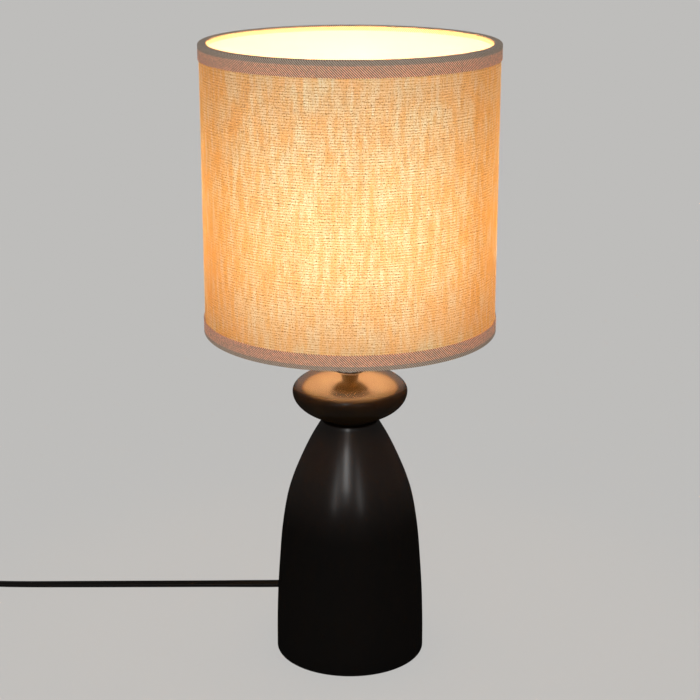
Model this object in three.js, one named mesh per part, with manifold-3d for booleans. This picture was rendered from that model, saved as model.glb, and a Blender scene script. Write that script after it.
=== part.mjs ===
import * as THREE from 'three';
import { mergeVertices } from 'three/addons/utils/BufferGeometryUtils.js';
import Module from 'manifold-3d';

// A table lamp: a turned body and a flattened ball on a threaded tube, a screw lampholder with its
// bulb, a drum shade on a spoked carrier, and a flat mains cord with an in-line switch and a plug.
// Millimetres, +Z up. The origin is on the table, under the middle of the lamp.

// ---- Driving dimensions ----

// Clearances
const SEAT_GAP = 0.3; // between pieces that rest on each other
const SIDE_GAP = 0.3; // round what passes through a hole or sits in a recess
const TURNING_GAP = 0.4; // round what screws in and out or tilts
const CUT_REACH = 5; // how far a cutting tool sticks out of what it cuts

// Turned body
const BODY_FOOT = 1; // how far the felt holds the body off the table
const BODY_HEIGHT = 174.2;
const BODY_RADIUS = 52.9;
const BODY_TOP_RADIUS = 20.5;
const BODY_EDGE = 1.5; // rounding of the foot and of the top edge
// The side between foot and top, as shares of the height and of the radius
const BODY_SIDE_RATIOS = [[0.12, 0.997], [0.26, 0.982], [0.4, 0.952], [0.53, 0.915],
  [0.66, 0.848], [0.75, 0.764], [0.84, 0.645], [0.92, 0.521]];
const BODY_SIDE_STEPS = 13;
const RECESS_RADIUS = 32;
const RECESS_HEIGHT = 40; // from the foot up to the ceiling of the recess
const CORD_HOLE_HEIGHT = 8.5;

// Flattened ball
const BALL_RADIUS = 40.2;
const BALL_RISE = 15.8; // half height above its widest place
const BALL_DROP = 21.3; // half height below it
const BALL_FOOT_RADIUS = 17.5;
const BALL_FOOT_HEIGHT = 1.5;
const BALL_TOP_RADIUS = 10.8; // flat under the washer

// Felt, tube and the pieces that clamp the stack together
const FELT_RADIUS = 46;
const FELT_THICKNESS = 2;
const TUBE_RADIUS = 5;
const TUBE_BORE_RADIUS = 3.9;
const TUBE_TAIL = 3; // thread that shows below the foot nut
const FOOT_WASHER_RADIUS = 15;
const FOOT_WASHER_THICKNESS = 2;
const FOOT_NUT_ACROSS_FLATS = 14;
const FOOT_NUT_HEIGHT = 4;
const TOP_WASHER_RADIUS = 10;
const TOP_WASHER_THICKNESS = 1.5;
const SPACER_RADIUS = 6.8;
const SPACER_LENGTH = 17.7;

// Cord gland and the tie behind it
const GLAND_SHANK_RADIUS = 4.6;
const GLAND_FLANGE_RADIUS = 6.4;
const GLAND_FLANGE_THICKNESS = 2;
const GLAND_TAIL_LENGTH = 20;
const GLAND_TAIL_RADII = [5.2, 4]; // at the flange and at the tip
const LEAD_TIE_WIDTH = 3;
const LEAD_TIE_THICKNESS = 1.4;

// Lampholder
const HOLDER_RADIUS = 19.5;
const HOLDER_WALL = 2.2;
const CAP_BOSS_RADIUS = 8.2;
const CAP_BOSS_HEIGHT = 4; // straight part of the boss, seen from outside
const CAP_BORE_LENGTH = 10; // thread that takes the tube
const CAP_HEIGHT = 20;
const WIRE_HOLE_RADIUS = 1.5; // for the lead's two wires, through the insert
const WIRE_HOLE_OFFSET = 2.5; // from the end of the centre contact
const INSERT_FLANGE_THICKNESS = 2;
const INSERT_HEIGHT = 9; // above its flange
const SLEEVE_LENGTH = 37;
const SHOULDER_RADIUS = 24;
const SHOULDER_HEIGHT = 8.2; // from the sleeve's lower edge
const SHOULDER_THICKNESS = 2.2;
const SHELL_WALL = 0.6;
const SHELL_LENGTH = 27;
const CONTACT_SIZE = [6, 16, 0.6]; // centre contact: width, length, thickness
const TERMINAL_SIZE = [4.5, 6, 5.5];
const TERMINAL_SPACING = 14;
const TERMINAL_SCREW_RADIUS = 1.6;
const TERMINAL_SCREW_LENGTH = 3;

// Bulb with a screw cap
const TIP_RADIUS = 4.6;
const TIP_HEIGHT = 1.4;
const BASE_GLASS_RADIUS = 11.5; // insulating base between tip and cap
const BASE_GLASS_HEIGHT = 3.1;
const BULB_CAP_RADIUS = 13.1;
const BULB_CAP_WALL = 0.8;
const BULB_CAP_HEIGHT = 22.7;
const NECK_RADIUS = 13.6;
const NECK_HEIGHT = 27.7;
const NECK_STRAIGHT = 4; // its upright part, above the cap
const GLOBE_RADIUS = 30;
const GLOBE_OPENING_RADIUS = 23.5;
const GLOBE_WALL = 1.5;

// Shade
const SHADE_RADIUS = 99.7; // outer face of the cloth
const SHADE_HEIGHT = 197;
const SHADE_DROP = 23.7; // lower edge of the shade below the fitter ring
const CLOTH_THICKNESS = 0.8;
const LINER_THICKNESS = 0.4;
const BAND_THICKNESS = 0.5;
const BAND_WIDTH = 10.8;
const WIRE_RADIUS = 1.5;
const FITTER_THICKNESS = 2;
const FITTER_WIDTH = 5;
const SPOKES = 3;
const SPOKE_RADIUS = 1.6;
const RING_HEIGHT = 10;
const RING_RADIUS = 28;

// Flat mains cord and what is on it
const CORD_WIDTH = 5.8;
const CORD_THICKNESS = 3.5;
const CORD_STEP = 14;
const TABLE_GAP = 0.1; // between what lies on the table and the table

const SWITCH_PLACE = [-337, 97]; // middle of the switch on the table
const SWITCH_LENGTH = 62;
const SWITCH_WIDTH = 26;
const SWITCH_CORNER = 9;
const SWITCH_SPLIT = 6; // height of the joint between base and cover
const SWITCH_HEIGHT = 14;
const SWITCH_WALL = 2;
const SWITCH_ROOM = [34, 18]; // hollow inside: length, width
const ROCKER_SIZE = [19, 9, 7]; // length, width, height
const ROCKER_FOOT_CHAMFER = 3;
const ROCKER_TILT = 8; // degrees from level when it lies at rest
const ROCKER_PIN_RADIUS = 1.2;
const ROCKER_PROUD = 1.2; // its high end above the cover
const SWITCH_SCREW_PLACE = [22, 8.5];
const SWITCH_SCREW_RADIUS = 1.5;
const SWITCH_SCREW_HEAD_RADIUS = 2.8;
const SWITCH_SCREW_HEAD_HEIGHT = 1.8;
const SWITCH_SCREW_LENGTH = 10;
const SWITCH_CONTACT_SIZE = [11, 5, 1.2];
const SWITCH_CONTACT_GAP = 6;

const COIL_PLACE = [-417, 61]; // middle of the coil on the table
const COIL_TURN_RADII = [25, 37]; // innermost and outermost turn, at the middle of the cord
const COIL_LAYERS = 3;
const COIL_LAYER_PITCH = 3.6;
const COIL_TIE_WIDTH = 9;
const COIL_TIE_THICKNESS = 1.2;
const COIL_TIE_CORNER = 1;

const PLUG_PLACE = [-351, 17]; // where the cord enters the plug
const PLUG_LENGTH = 34;
const PLUG_WIDTH = 26;
const PLUG_TAIL_WIDTH = 10;
const PLUG_TAPER = 18.5; // length over which it widens
const PLUG_THICKNESS = 13.4;
const PLUG_BEVEL = 2;
const PIN_SPACING = 18.6;
const PIN_RADIUS = 2;
const PIN_LENGTH = 19;
const PIN_SLEEVE_LENGTH = 10;
const PIN_CORE_RADIUS = 1.4;
const PIN_NOSE = 0.8; // bevel of the pin's end
const PIN_ROOT = 4; // depth of the pin inside the plug

// Facets round a full turn
const BIG_FACETS = 48;
const BODY_FACETS = 40;
const HOLDER_FACETS = 28;
const BULB_FACETS = 24;
const SMALL_FACETS = 16;
const SCREW_FACETS = 12;

// ---- Heights that follow from them, from the table up ----

const halfEllipse = (radius) => Math.sqrt(1 - (radius / BALL_RADIUS) ** 2);
const bodyTop = BODY_FOOT + BODY_HEIGHT;
const recessCeiling = BODY_FOOT + RECESS_HEIGHT;
const ballSeat = bodyTop + SEAT_GAP;
const ballMiddle = ballSeat + BALL_FOOT_HEIGHT + BALL_DROP * halfEllipse(BALL_FOOT_RADIUS);
const ballTop = ballMiddle + BALL_RISE * halfEllipse(BALL_TOP_RADIUS);
const footWasherBottom = recessCeiling - SEAT_GAP - FOOT_WASHER_THICKNESS;
const footNutBottom = footWasherBottom - SEAT_GAP - FOOT_NUT_HEIGHT;
const tubeBottom = footNutBottom - TUBE_TAIL;
const topWasherBottom = ballTop + SEAT_GAP;
const spacerBottom = topWasherBottom + TOP_WASHER_THICKNESS + SEAT_GAP;
const holderBottom = spacerBottom + SPACER_LENGTH + SEAT_GAP;
const tubeTop = holderBottom + CAP_BORE_LENGTH;
const insertBottom = holderBottom + CAP_HEIGHT + SEAT_GAP;
const sleeveBottom = insertBottom + INSERT_FLANGE_THICKNESS + SEAT_GAP;
const insertTop = insertBottom + INSERT_FLANGE_THICKNESS + INSERT_HEIGHT;
const shoulderTop = sleeveBottom + SHOULDER_HEIGHT + SHOULDER_THICKNESS;
const fitterBottom = shoulderTop + SEAT_GAP;
const ringBottom = fitterBottom + FITTER_THICKNESS + SEAT_GAP;
const contactBottom = insertTop + SEAT_GAP;
const tipBottom = contactBottom + CONTACT_SIZE[2] + SEAT_GAP;
const baseGlassBottom = tipBottom + TIP_HEIGHT + SEAT_GAP;
const bulbCapBottom = baseGlassBottom + BASE_GLASS_HEIGHT + SEAT_GAP;
const neckBottom = bulbCapBottom + BULB_CAP_HEIGHT + SEAT_GAP;
const globeBottom = neckBottom + NECK_HEIGHT + SEAT_GAP;
const shadeBottom = fitterBottom - SHADE_DROP;
const shadeTop = shadeBottom + SHADE_HEIGHT;

// ---- Radii that follow ----

const tubeHoleRadius = TUBE_RADIUS + SIDE_GAP;
const holderInnerRadius = HOLDER_RADIUS - HOLDER_WALL;
const shellInnerRadius = BULB_CAP_RADIUS + TURNING_GAP;
const fitterInnerRadius = HOLDER_RADIUS + TURNING_GAP;
const fitterOuterRadius = fitterInnerRadius + FITTER_WIDTH;
const linerOuterRadius = SHADE_RADIUS - CLOTH_THICKNESS - SIDE_GAP;
const linerInnerRadius = linerOuterRadius - LINER_THICKNESS;
const wireRingRadius = linerInnerRadius - SIDE_GAP - WIRE_RADIUS;
const bandOuterRadius = SHADE_RADIUS + SIDE_GAP + BAND_THICKNESS;
const bandInnerRadius = wireRingRadius - WIRE_RADIUS - SIDE_GAP - BAND_THICKNESS;
const wireInset = BAND_THICKNESS + SEAT_GAP + WIRE_RADIUS; // wire's middle from the shade's edge
const cordHoleRadius = GLAND_SHANK_RADIUS + SIDE_GAP;
const leadHoleRadius = CORD_WIDTH / 2 + SIDE_GAP;

// ---- Materials ----

function finish(color, roughness, metalness = 0) {
  return new THREE.MeshStandardMaterial({ color, roughness, metalness });
}

const blackLacquer = finish(0x16120f, 0.35);
const blackPlastic = finish(0x141414, 0.45);
const blackRubber = finish(0x101010, 0.6);
const darkFelt = finish(0x2a2826, 0.95);
const zincSteel = finish(0xb9bbbd, 0.35, 1);
const brass = finish(0xc9a556, 0.3, 1);
const ceramic = finish(0xe8e4dc, 0.4);
const whiteSteel = finish(0xe9e8e4, 0.45);
const whitePlastic = finish(0xf1f0ec, 0.4);
const opalGlass = finish(0xfff6e0, 0.3);
const linenCloth = finish(0xcbb189, 0.9);
const linenBand = finish(0xa88d72, 0.9);
const whiteLiner = finish(0xf3ebda, 0.7);

// ---- Helpers ----

const wasm = await Module();
wasm.setup();

// A closed section of [radius, height] corners, anticlockwise, turned round the Z axis.
function turned(section, facets) {
  const corners = section.map(([radius, height]) => new THREE.Vector2(radius, height));
  if (corners[0].x > 0) corners.push(corners[0].clone());
  return new THREE.LatheGeometry(corners, facets).rotateX(Math.PI / 2);
}

// A plain ring or disc with a rectangular section.
function collar(innerRadius, outerRadius, bottom, top, facets) {
  return turned([[innerRadius, bottom], [outerRadius, bottom], [outerRadius, top],
    [innerRadius, top]], facets);
}

// An outline of [x, y] corners, raised along Z from bottom to top.
function raised(outline, bottom, top) {
  const shape = outline instanceof THREE.Shape ? outline
    : new THREE.Shape(outline.map(([x, y]) => new THREE.Vector2(x, y)));
  const geometry = new THREE.ExtrudeGeometry(shape, { depth: top - bottom, bevelEnabled: false,
    curveSegments: 5 });
  return geometry.translate(0, 0, bottom);
}

function block(length, width, bottom, top) {
  return new THREE.BoxGeometry(length, width, top - bottom).translate(0, 0, (bottom + top) / 2);
}

function rod(radius, bottom, top, facets = SMALL_FACETS) {
  return new THREE.CylinderGeometry(radius, radius, top - bottom, facets)
    .rotateX(Math.PI / 2).translate(0, 0, (bottom + top) / 2);
}

function roundedRectangle(length, width, corner) {
  const [x, y] = [length / 2, width / 2];
  const shape = new THREE.Shape();
  shape.moveTo(-x + corner, -y).lineTo(x - corner, -y);
  shape.absarc(x - corner, -y + corner, corner, -Math.PI / 2, 0);
  shape.absarc(x - corner, y - corner, corner, 0, Math.PI / 2);
  shape.absarc(-x + corner, y - corner, corner, Math.PI / 2, Math.PI);
  shape.absarc(-x + corner, -y + corner, corner, Math.PI, Math.PI * 1.5);
  return shape;
}

function solidOf(geometry) {
  const bare = geometry.clone();
  bare.deleteAttribute('normal');
  bare.deleteAttribute('uv');
  const merged = mergeVertices(bare, 1e-4);
  const corners = merged.index.array;
  const triVerts = [];
  for (let i = 0; i < corners.length; i += 3) {
    const [a, b, c] = corners.slice(i, i + 3);
    if (a !== b && b !== c && c !== a) triVerts.push(a, b, c);
  }
  return new wasm.Manifold(new wasm.Mesh({
    numProp: 3,
    vertProperties: merged.attributes.position.array,
    triVerts: Uint32Array.from(triVerts),
  }));
}

function geometryOf(solid) {
  const { vertProperties, triVerts } = solid.getMesh();
  const geometry = new THREE.BufferGeometry();
  geometry.setAttribute('position', new THREE.BufferAttribute(vertProperties, 3));
  geometry.setIndex(new THREE.BufferAttribute(triVerts, 1));
  geometry.computeVertexNormals();
  return geometry;
}

function cut(geometry, ...tools) {
  return geometryOf(tools.reduce((left, tool) => left.subtract(solidOf(tool)), solidOf(geometry)));
}

const lamp = new THREE.Group();

function add(name, geometry, material, place = [0, 0, 0], group = lamp) {
  const mesh = new THREE.Mesh(geometry, material);
  mesh.name = name;
  mesh.position.set(...place);
  group.add(mesh);
  return mesh;
}

// ---- Body, ball and the tube that holds them together ----

function bodySide() {
  const foot = new THREE.Vector2(BODY_RADIUS, BODY_FOOT + BODY_EDGE);
  const top = new THREE.Vector2(BODY_TOP_RADIUS, bodyTop - BODY_EDGE);
  const between = BODY_SIDE_RATIOS.map(([up, out]) =>
    new THREE.Vector2(BODY_RADIUS * out, BODY_FOOT + BODY_HEIGHT * up));
  const side = new THREE.SplineCurve([foot, ...between, top]);
  return side.getPoints(BODY_SIDE_STEPS).map(({ x, y }) => [x, y]);
}

function turnedBody() {
  const feltRecessRadius = FELT_RADIUS + SIDE_GAP;
  const feltRecessTop = FELT_THICKNESS + SEAT_GAP;
  const footFlat = [BODY_RADIUS - BODY_EDGE, BODY_FOOT];
  const topFlat = [BODY_TOP_RADIUS - BODY_EDGE, bodyTop];
  const body = turned([
    [feltRecessRadius, BODY_FOOT], footFlat,
    ...bodySide(),
    topFlat, [tubeHoleRadius, bodyTop],
    [tubeHoleRadius, recessCeiling], [RECESS_RADIUS, recessCeiling],
    [RECESS_RADIUS, feltRecessTop], [feltRecessRadius, feltRecessTop],
  ], BODY_FACETS);
  const cordHole = rod(cordHoleRadius, RECESS_RADIUS / 2, BODY_RADIUS + CUT_REACH)
    .rotateX(-Math.PI / 2).translate(0, 0, CORD_HOLE_HEIGHT);
  return cut(body, cordHole);
}

// Two quarter ellipses, a shallow one over a deeper one, with a short foot under them.
function turnedBall() {
  const steps = 6;
  const lowest = -Math.acos(BALL_FOOT_RADIUS / BALL_RADIUS);
  const highest = Math.acos(BALL_TOP_RADIUS / BALL_RADIUS);
  const side = [];
  for (let i = 0; i <= 2 * steps; i += 1) {
    const angle = i < steps ? lowest * (1 - i / steps) : highest * (i / steps - 1);
    const halfHeight = angle < 0 ? BALL_DROP : BALL_RISE;
    side.push([BALL_RADIUS * Math.cos(angle), ballMiddle + halfHeight * Math.sin(angle)]);
  }
  return turned([[tubeHoleRadius, ballSeat], [BALL_FOOT_RADIUS - BALL_FOOT_HEIGHT / 2, ballSeat],
    ...side, [tubeHoleRadius, ballTop]], BODY_FACETS);
}

function hexNut(acrossFlats, boreRadius, bottom, top) {
  const corner = acrossFlats / Math.sqrt(3);
  const outline = new THREE.Shape();
  for (let i = 0; i < 6; i += 1) {
    const [x, y] = [corner * Math.cos((i * Math.PI) / 3), corner * Math.sin((i * Math.PI) / 3)];
    if (i === 0) outline.moveTo(x, y);
    else outline.lineTo(x, y);
  }
  const bore = new THREE.Path();
  bore.absarc(0, 0, boreRadius, 0, Math.PI * 2, true);
  outline.holes.push(bore);
  return raised(outline, bottom, top);
}

add('base_felt', rod(FELT_RADIUS, 0, FELT_THICKNESS, BODY_FACETS), darkFelt);
add('turned_body', turnedBody(), blackLacquer);
add('turned_ball', turnedBall(), blackLacquer);
add('threaded_tube', collar(TUBE_BORE_RADIUS, TUBE_RADIUS, tubeBottom, tubeTop, SMALL_FACETS),
  zincSteel);
add('foot_washer', collar(tubeHoleRadius, FOOT_WASHER_RADIUS, footWasherBottom,
  footWasherBottom + FOOT_WASHER_THICKNESS, SMALL_FACETS), zincSteel);
add('foot_nut', hexNut(FOOT_NUT_ACROSS_FLATS, tubeHoleRadius, footNutBottom,
  footNutBottom + FOOT_NUT_HEIGHT), zincSteel);
add('top_washer', collar(tubeHoleRadius, TOP_WASHER_RADIUS, topWasherBottom,
  topWasherBottom + TOP_WASHER_THICKNESS, HOLDER_FACETS), zincSteel);
add('spacer_tube', collar(tubeHoleRadius, SPACER_RADIUS, spacerBottom,
  spacerBottom + SPACER_LENGTH, SMALL_FACETS), blackPlastic);

// ---- Cord gland, and the lead inside the lamp ----

const glandFace = BODY_RADIUS + SEAT_GAP;
const glandTip = glandFace + GLAND_FLANGE_THICKNESS + GLAND_TAIL_LENGTH;

// Drawn along Z, then laid along +Y by its turn.
function cordGland() {
  const tailStart = glandFace + GLAND_FLANGE_THICKNESS;
  return turned([
    [leadHoleRadius, RECESS_RADIUS], [GLAND_SHANK_RADIUS, RECESS_RADIUS],
    [GLAND_SHANK_RADIUS, glandFace], [GLAND_FLANGE_RADIUS, glandFace],
    [GLAND_FLANGE_RADIUS, tailStart], [GLAND_TAIL_RADII[0], tailStart],
    [GLAND_TAIL_RADII[1], glandTip], [leadHoleRadius, glandTip],
  ], SMALL_FACETS);
}

// The flat cord's section, standing on its edge: the width is along Y.
function cordSection() {
  const radius = CORD_THICKNESS / 2;
  const straight = (CORD_WIDTH - CORD_THICKNESS) / 2;
  const section = new THREE.Shape();
  section.absarc(0, straight, radius, 0, Math.PI);
  section.absarc(0, -straight, radius, Math.PI, Math.PI * 2);
  return section;
}

function cordAlong(points) {
  const route = new THREE.CatmullRomCurve3(points.map((point) => new THREE.Vector3(...point)));
  return new THREE.ExtrudeGeometry(cordSection(), {
    extrudePath: route,
    steps: Math.ceil(route.getLength() / CORD_STEP),
    curveSegments: 2,
    bevelEnabled: false,
  });
}

// From the gland through the recess, round a bend and up the tube to the terminals.
function innerLead() {
  const bend = tubeBottom - CORD_HOLE_HEIGHT - SEAT_GAP;
  const points = [[0, glandTip, CORD_HOLE_HEIGHT], [0, (glandTip + bend) / 2, CORD_HOLE_HEIGHT]];
  for (let angle = 0; angle <= 90; angle += 15) {
    const turn = THREE.MathUtils.degToRad(angle);
    points.push([0, bend * (1 - Math.sin(turn)), CORD_HOLE_HEIGHT + bend * (1 - Math.cos(turn))]);
  }
  points.push([0, 0, (tubeBottom + tubeTop) / 2], [0, 0, insertBottom - SEAT_GAP]);
  return cordAlong(points);
}

add('cord_gland', cordGland(), blackRubber, [0, 0, CORD_HOLE_HEIGHT]).rotation.x = -Math.PI / 2;
add('inner_lead', innerLead(), blackRubber);
add('lead_tie', collar(leadHoleRadius, leadHoleRadius + LEAD_TIE_THICKNESS,
  RECESS_RADIUS - SEAT_GAP - LEAD_TIE_WIDTH, RECESS_RADIUS - SEAT_GAP, SMALL_FACETS),
blackPlastic, [0, 0, CORD_HOLE_HEIGHT]).rotation.x = -Math.PI / 2;

// ---- Lampholder ----

function holderCap() {
  const top = holderBottom + CAP_HEIGHT;
  const flareStart = holderBottom + CAP_BOSS_HEIGHT;
  const bowl = new THREE.QuadraticBezierCurve(
    new THREE.Vector2(CAP_BOSS_RADIUS, flareStart),
    new THREE.Vector2(HOLDER_RADIUS, flareStart),
    new THREE.Vector2(HOLDER_RADIUS, top),
  );
  return turned([
    [tubeHoleRadius, holderBottom], [CAP_BOSS_RADIUS, holderBottom],
    ...bowl.getPoints(6).map(({ x, y }) => [x, y]),
    [holderInnerRadius, top], [holderInnerRadius - HOLDER_WALL, (tubeTop + top) / 2],
    [CAP_BOSS_RADIUS, tubeTop], [tubeHoleRadius, tubeTop],
  ], HOLDER_FACETS);
}

// The insert is clamped by its flange between cap and sleeve. The lead's wires pass its slots.
function holderInsert() {
  const flangeTop = insertBottom + INSERT_FLANGE_THICKNESS;
  const hubRadius = holderInnerRadius - SIDE_GAP;
  const insert = turned([
    [0, insertBottom], [HOLDER_RADIUS, insertBottom], [HOLDER_RADIUS, flangeTop],
    [hubRadius, flangeTop], [hubRadius, insertTop], [0, insertTop],
  ], HOLDER_FACETS);
  const wireHole = rod(WIRE_HOLE_RADIUS, insertBottom - CUT_REACH, insertTop + CUT_REACH,
    SCREW_FACETS);
  const wireHoles = [-1, 1].map((side) =>
    wireHole.clone().translate(0, side * (CONTACT_SIZE[1] / 2 + WIRE_HOLE_OFFSET), 0));
  return cut(insert, ...wireHoles);
}

function holderSleeve() {
  const shoulderBottom = sleeveBottom + SHOULDER_HEIGHT;
  const top = sleeveBottom + SLEEVE_LENGTH;
  return turned([
    [holderInnerRadius, sleeveBottom], [HOLDER_RADIUS, sleeveBottom],
    [HOLDER_RADIUS, shoulderBottom], [SHOULDER_RADIUS, shoulderBottom],
    [SHOULDER_RADIUS, shoulderTop], [HOLDER_RADIUS, shoulderTop],
    [HOLDER_RADIUS, top], [holderInnerRadius, top],
  ], HOLDER_FACETS);
}

function terminalScrew() {
  return rod(TERMINAL_SCREW_RADIUS, 0, TERMINAL_SCREW_LENGTH, SCREW_FACETS);
}

add('holder_cap', holderCap(), blackPlastic);
add('holder_insert', holderInsert(), ceramic);
add('holder_sleeve', holderSleeve(), blackPlastic);
add('screw_shell', collar(shellInnerRadius, shellInnerRadius + SHELL_WALL, contactBottom,
  contactBottom + SHELL_LENGTH, HOLDER_FACETS), brass);
add('centre_contact', block(CONTACT_SIZE[0], CONTACT_SIZE[1], contactBottom,
  contactBottom + CONTACT_SIZE[2]), brass);
['left', 'right'].forEach((side, index) => {
  const x = (index - 0.5) * TERMINAL_SPACING;
  const terminalTop = insertBottom - SEAT_GAP;
  add(`terminal_${side}`, block(TERMINAL_SIZE[0], TERMINAL_SIZE[1],
    terminalTop - TERMINAL_SIZE[2], terminalTop), brass, [x, 0, 0]);
  add(`terminal_screw_${side}`, terminalScrew(), zincSteel,
    [x, -TERMINAL_SIZE[1] / 2 - SEAT_GAP, terminalTop - TERMINAL_SIZE[2] / 2])
    .rotation.x = Math.PI / 2;
});

// ---- Bulb ----

const globeDrop = Math.sqrt(GLOBE_RADIUS ** 2 - GLOBE_OPENING_RADIUS ** 2);

// Its side starts upright on the cap and runs smoothly into the globe.
function bulbNeck() {
  const top = neckBottom + NECK_HEIGHT;
  const reach = NECK_HEIGHT / 3;
  const side = new THREE.CubicBezierCurve(
    new THREE.Vector2(NECK_RADIUS, neckBottom + NECK_STRAIGHT),
    new THREE.Vector2(NECK_RADIUS, neckBottom + NECK_STRAIGHT + reach),
    new THREE.Vector2(GLOBE_OPENING_RADIUS - (reach * globeDrop) / GLOBE_RADIUS,
      top - (reach * GLOBE_OPENING_RADIUS) / GLOBE_RADIUS),
    new THREE.Vector2(GLOBE_OPENING_RADIUS, top),
  );
  return turned([[0, neckBottom], [NECK_RADIUS, neckBottom],
    ...side.getPoints(5).map(({ x, y }) => [x, y]), [0, top]], BULB_FACETS);
}

// An open glass bowl, upside down: the globe down to its opening, with a wall.
function bulbGlobe() {
  const steps = 6;
  const middle = globeBottom + globeDrop;
  const lowest = -Math.asin(globeDrop / GLOBE_RADIUS);
  const arc = (radius) => Array.from({ length: steps + 1 }, (_, i) => {
    const angle = lowest + (i / steps) * (Math.PI / 2 - lowest);
    const onAxis = i === steps;
    return [onAxis ? 0 : radius * Math.cos(angle), middle + radius * Math.sin(angle)];
  });
  const inside = arc(GLOBE_RADIUS - GLOBE_WALL).reverse();
  inside[inside.length - 1][1] = globeBottom;
  return turned([...arc(GLOBE_RADIUS), ...inside], BULB_FACETS);
}

function bulbCap() {
  const top = bulbCapBottom + BULB_CAP_HEIGHT;
  return collar(BULB_CAP_RADIUS - BULB_CAP_WALL, BULB_CAP_RADIUS, bulbCapBottom, top,
    BULB_FACETS);
}

function bulbBaseGlass() {
  return turned([[0, baseGlassBottom], [TIP_RADIUS, baseGlassBottom],
    [BASE_GLASS_RADIUS, baseGlassBottom + BASE_GLASS_HEIGHT],
    [0, baseGlassBottom + BASE_GLASS_HEIGHT]], SMALL_FACETS);
}

add('bulb_tip', rod(TIP_RADIUS, tipBottom, tipBottom + TIP_HEIGHT), zincSteel);
add('bulb_base_glass', bulbBaseGlass(), blackPlastic);
add('bulb_cap', bulbCap(), zincSteel);
add('bulb_neck', bulbNeck(), whitePlastic);
add('bulb_globe', bulbGlobe(), opalGlass);

// ---- Shade and its carrier ----

const clothInset = BAND_THICKNESS + SEAT_GAP; // the cloth's edges lie inside the folded bands

function shadeWall(outerRadius, thickness) {
  return collar(outerRadius - thickness, outerRadius, shadeBottom + clothInset,
    shadeTop - clothInset, BIG_FACETS);
}

function wireRing(height) {
  const ring = new THREE.TorusGeometry(wireRingRadius, WIRE_RADIUS, 6, BIG_FACETS);
  return ring.translate(0, 0, height);
}

// A strip folded over the edge and round the wire: long leg outside, short leg inside.
// direction is 1 for the upper edge and -1 for the lower one.
function foldedBand(edge, direction) {
  const at = (depth) => edge - direction * depth;
  const innerDepth = wireInset + WIRE_RADIUS + SEAT_GAP;
  const section = [
    [bandOuterRadius - BAND_THICKNESS, at(BAND_WIDTH)], [bandOuterRadius, at(BAND_WIDTH)],
    [bandOuterRadius, at(0)], [bandInnerRadius, at(0)],
    [bandInnerRadius, at(innerDepth)], [bandInnerRadius + BAND_THICKNESS, at(innerDepth)],
    [bandInnerRadius + BAND_THICKNESS, at(BAND_THICKNESS)],
    [bandOuterRadius - BAND_THICKNESS, at(BAND_THICKNESS)],
  ];
  return turned(direction > 0 ? section : section.reverse(), BIG_FACETS);
}

// A straight wire from the fitter ring out and down to the lower wire ring, drawn along X.
function spoke() {
  const slant = SPOKE_RADIUS / 2; // room for the slanting end faces
  const start = new THREE.Vector3(fitterOuterRadius + SEAT_GAP + slant, 0,
    fitterBottom + FITTER_THICKNESS - SPOKE_RADIUS - SEAT_GAP);
  const end = new THREE.Vector3(bandInnerRadius - SEAT_GAP - slant, 0, shadeBottom + wireInset);
  const path = new THREE.LineCurve3(start, end);
  const section = new THREE.Shape().absarc(0, 0, SPOKE_RADIUS, 0, Math.PI * 2);
  return new THREE.ExtrudeGeometry(section, { extrudePath: path, steps: 1, curveSegments: 4,
    bevelEnabled: false });
}

add('shade_cloth', shadeWall(SHADE_RADIUS, CLOTH_THICKNESS), linenCloth);
add('shade_liner', shadeWall(linerOuterRadius, LINER_THICKNESS), whiteLiner);
add('upper_wire_ring', wireRing(shadeTop - wireInset), whiteSteel);
add('lower_wire_ring', wireRing(shadeBottom + wireInset), whiteSteel);
add('upper_band', foldedBand(shadeTop, 1), linenBand);
add('lower_band', foldedBand(shadeBottom, -1), linenBand);
add('fitter_ring', collar(fitterInnerRadius, fitterOuterRadius, fitterBottom,
  fitterBottom + FITTER_THICKNESS, HOLDER_FACETS), whiteSteel);
for (let i = 0; i < SPOKES; i += 1) {
  add(`spoke_${i + 1}`, spoke(), whiteSteel).rotation.z = Math.PI / 2 + (i * 2 * Math.PI) / SPOKES;
}
add('shade_ring', collar(fitterInnerRadius, RING_RADIUS, ringBottom, ringBottom + RING_HEIGHT,
  HOLDER_FACETS), blackPlastic);

// ---- In-line switch ----

const switchBottom = TABLE_GAP;
const cordInletHeight = SWITCH_SPLIT;
const switchFrame = new THREE.Group();
switchFrame.position.set(SWITCH_PLACE[0], SWITCH_PLACE[1], 0);
lamp.add(switchFrame);

function switchOutline() {
  return roundedRectangle(SWITCH_LENGTH, SWITCH_WIDTH, SWITCH_CORNER);
}

function cordTunnel() {
  return rod(leadHoleRadius, -SWITCH_LENGTH, SWITCH_LENGTH).rotateY(Math.PI / 2)
    .translate(0, 0, cordInletHeight);
}

function atScrews(geometry) {
  const [x, y] = SWITCH_SCREW_PLACE;
  return [geometry.clone().translate(x, y, 0), geometry.clone().translate(-x, -y, 0)];
}

function switchBase() {
  const shell = raised(switchOutline(), switchBottom, SWITCH_SPLIT - SEAT_GAP / 2);
  const room = block(SWITCH_ROOM[0], SWITCH_ROOM[1], switchBottom + SWITCH_WALL, SWITCH_HEIGHT);
  const screwHole = rod(SWITCH_SCREW_RADIUS + SIDE_GAP, -CUT_REACH, SWITCH_HEIGHT, SCREW_FACETS);
  const headHole = rod(SWITCH_SCREW_HEAD_RADIUS + SIDE_GAP, -CUT_REACH,
    switchBottom + SWITCH_SCREW_HEAD_HEIGHT + 2 * SEAT_GAP, SCREW_FACETS);
  return cut(shell, room, cordTunnel(), ...atScrews(screwHole), ...atScrews(headHole));
}

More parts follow.
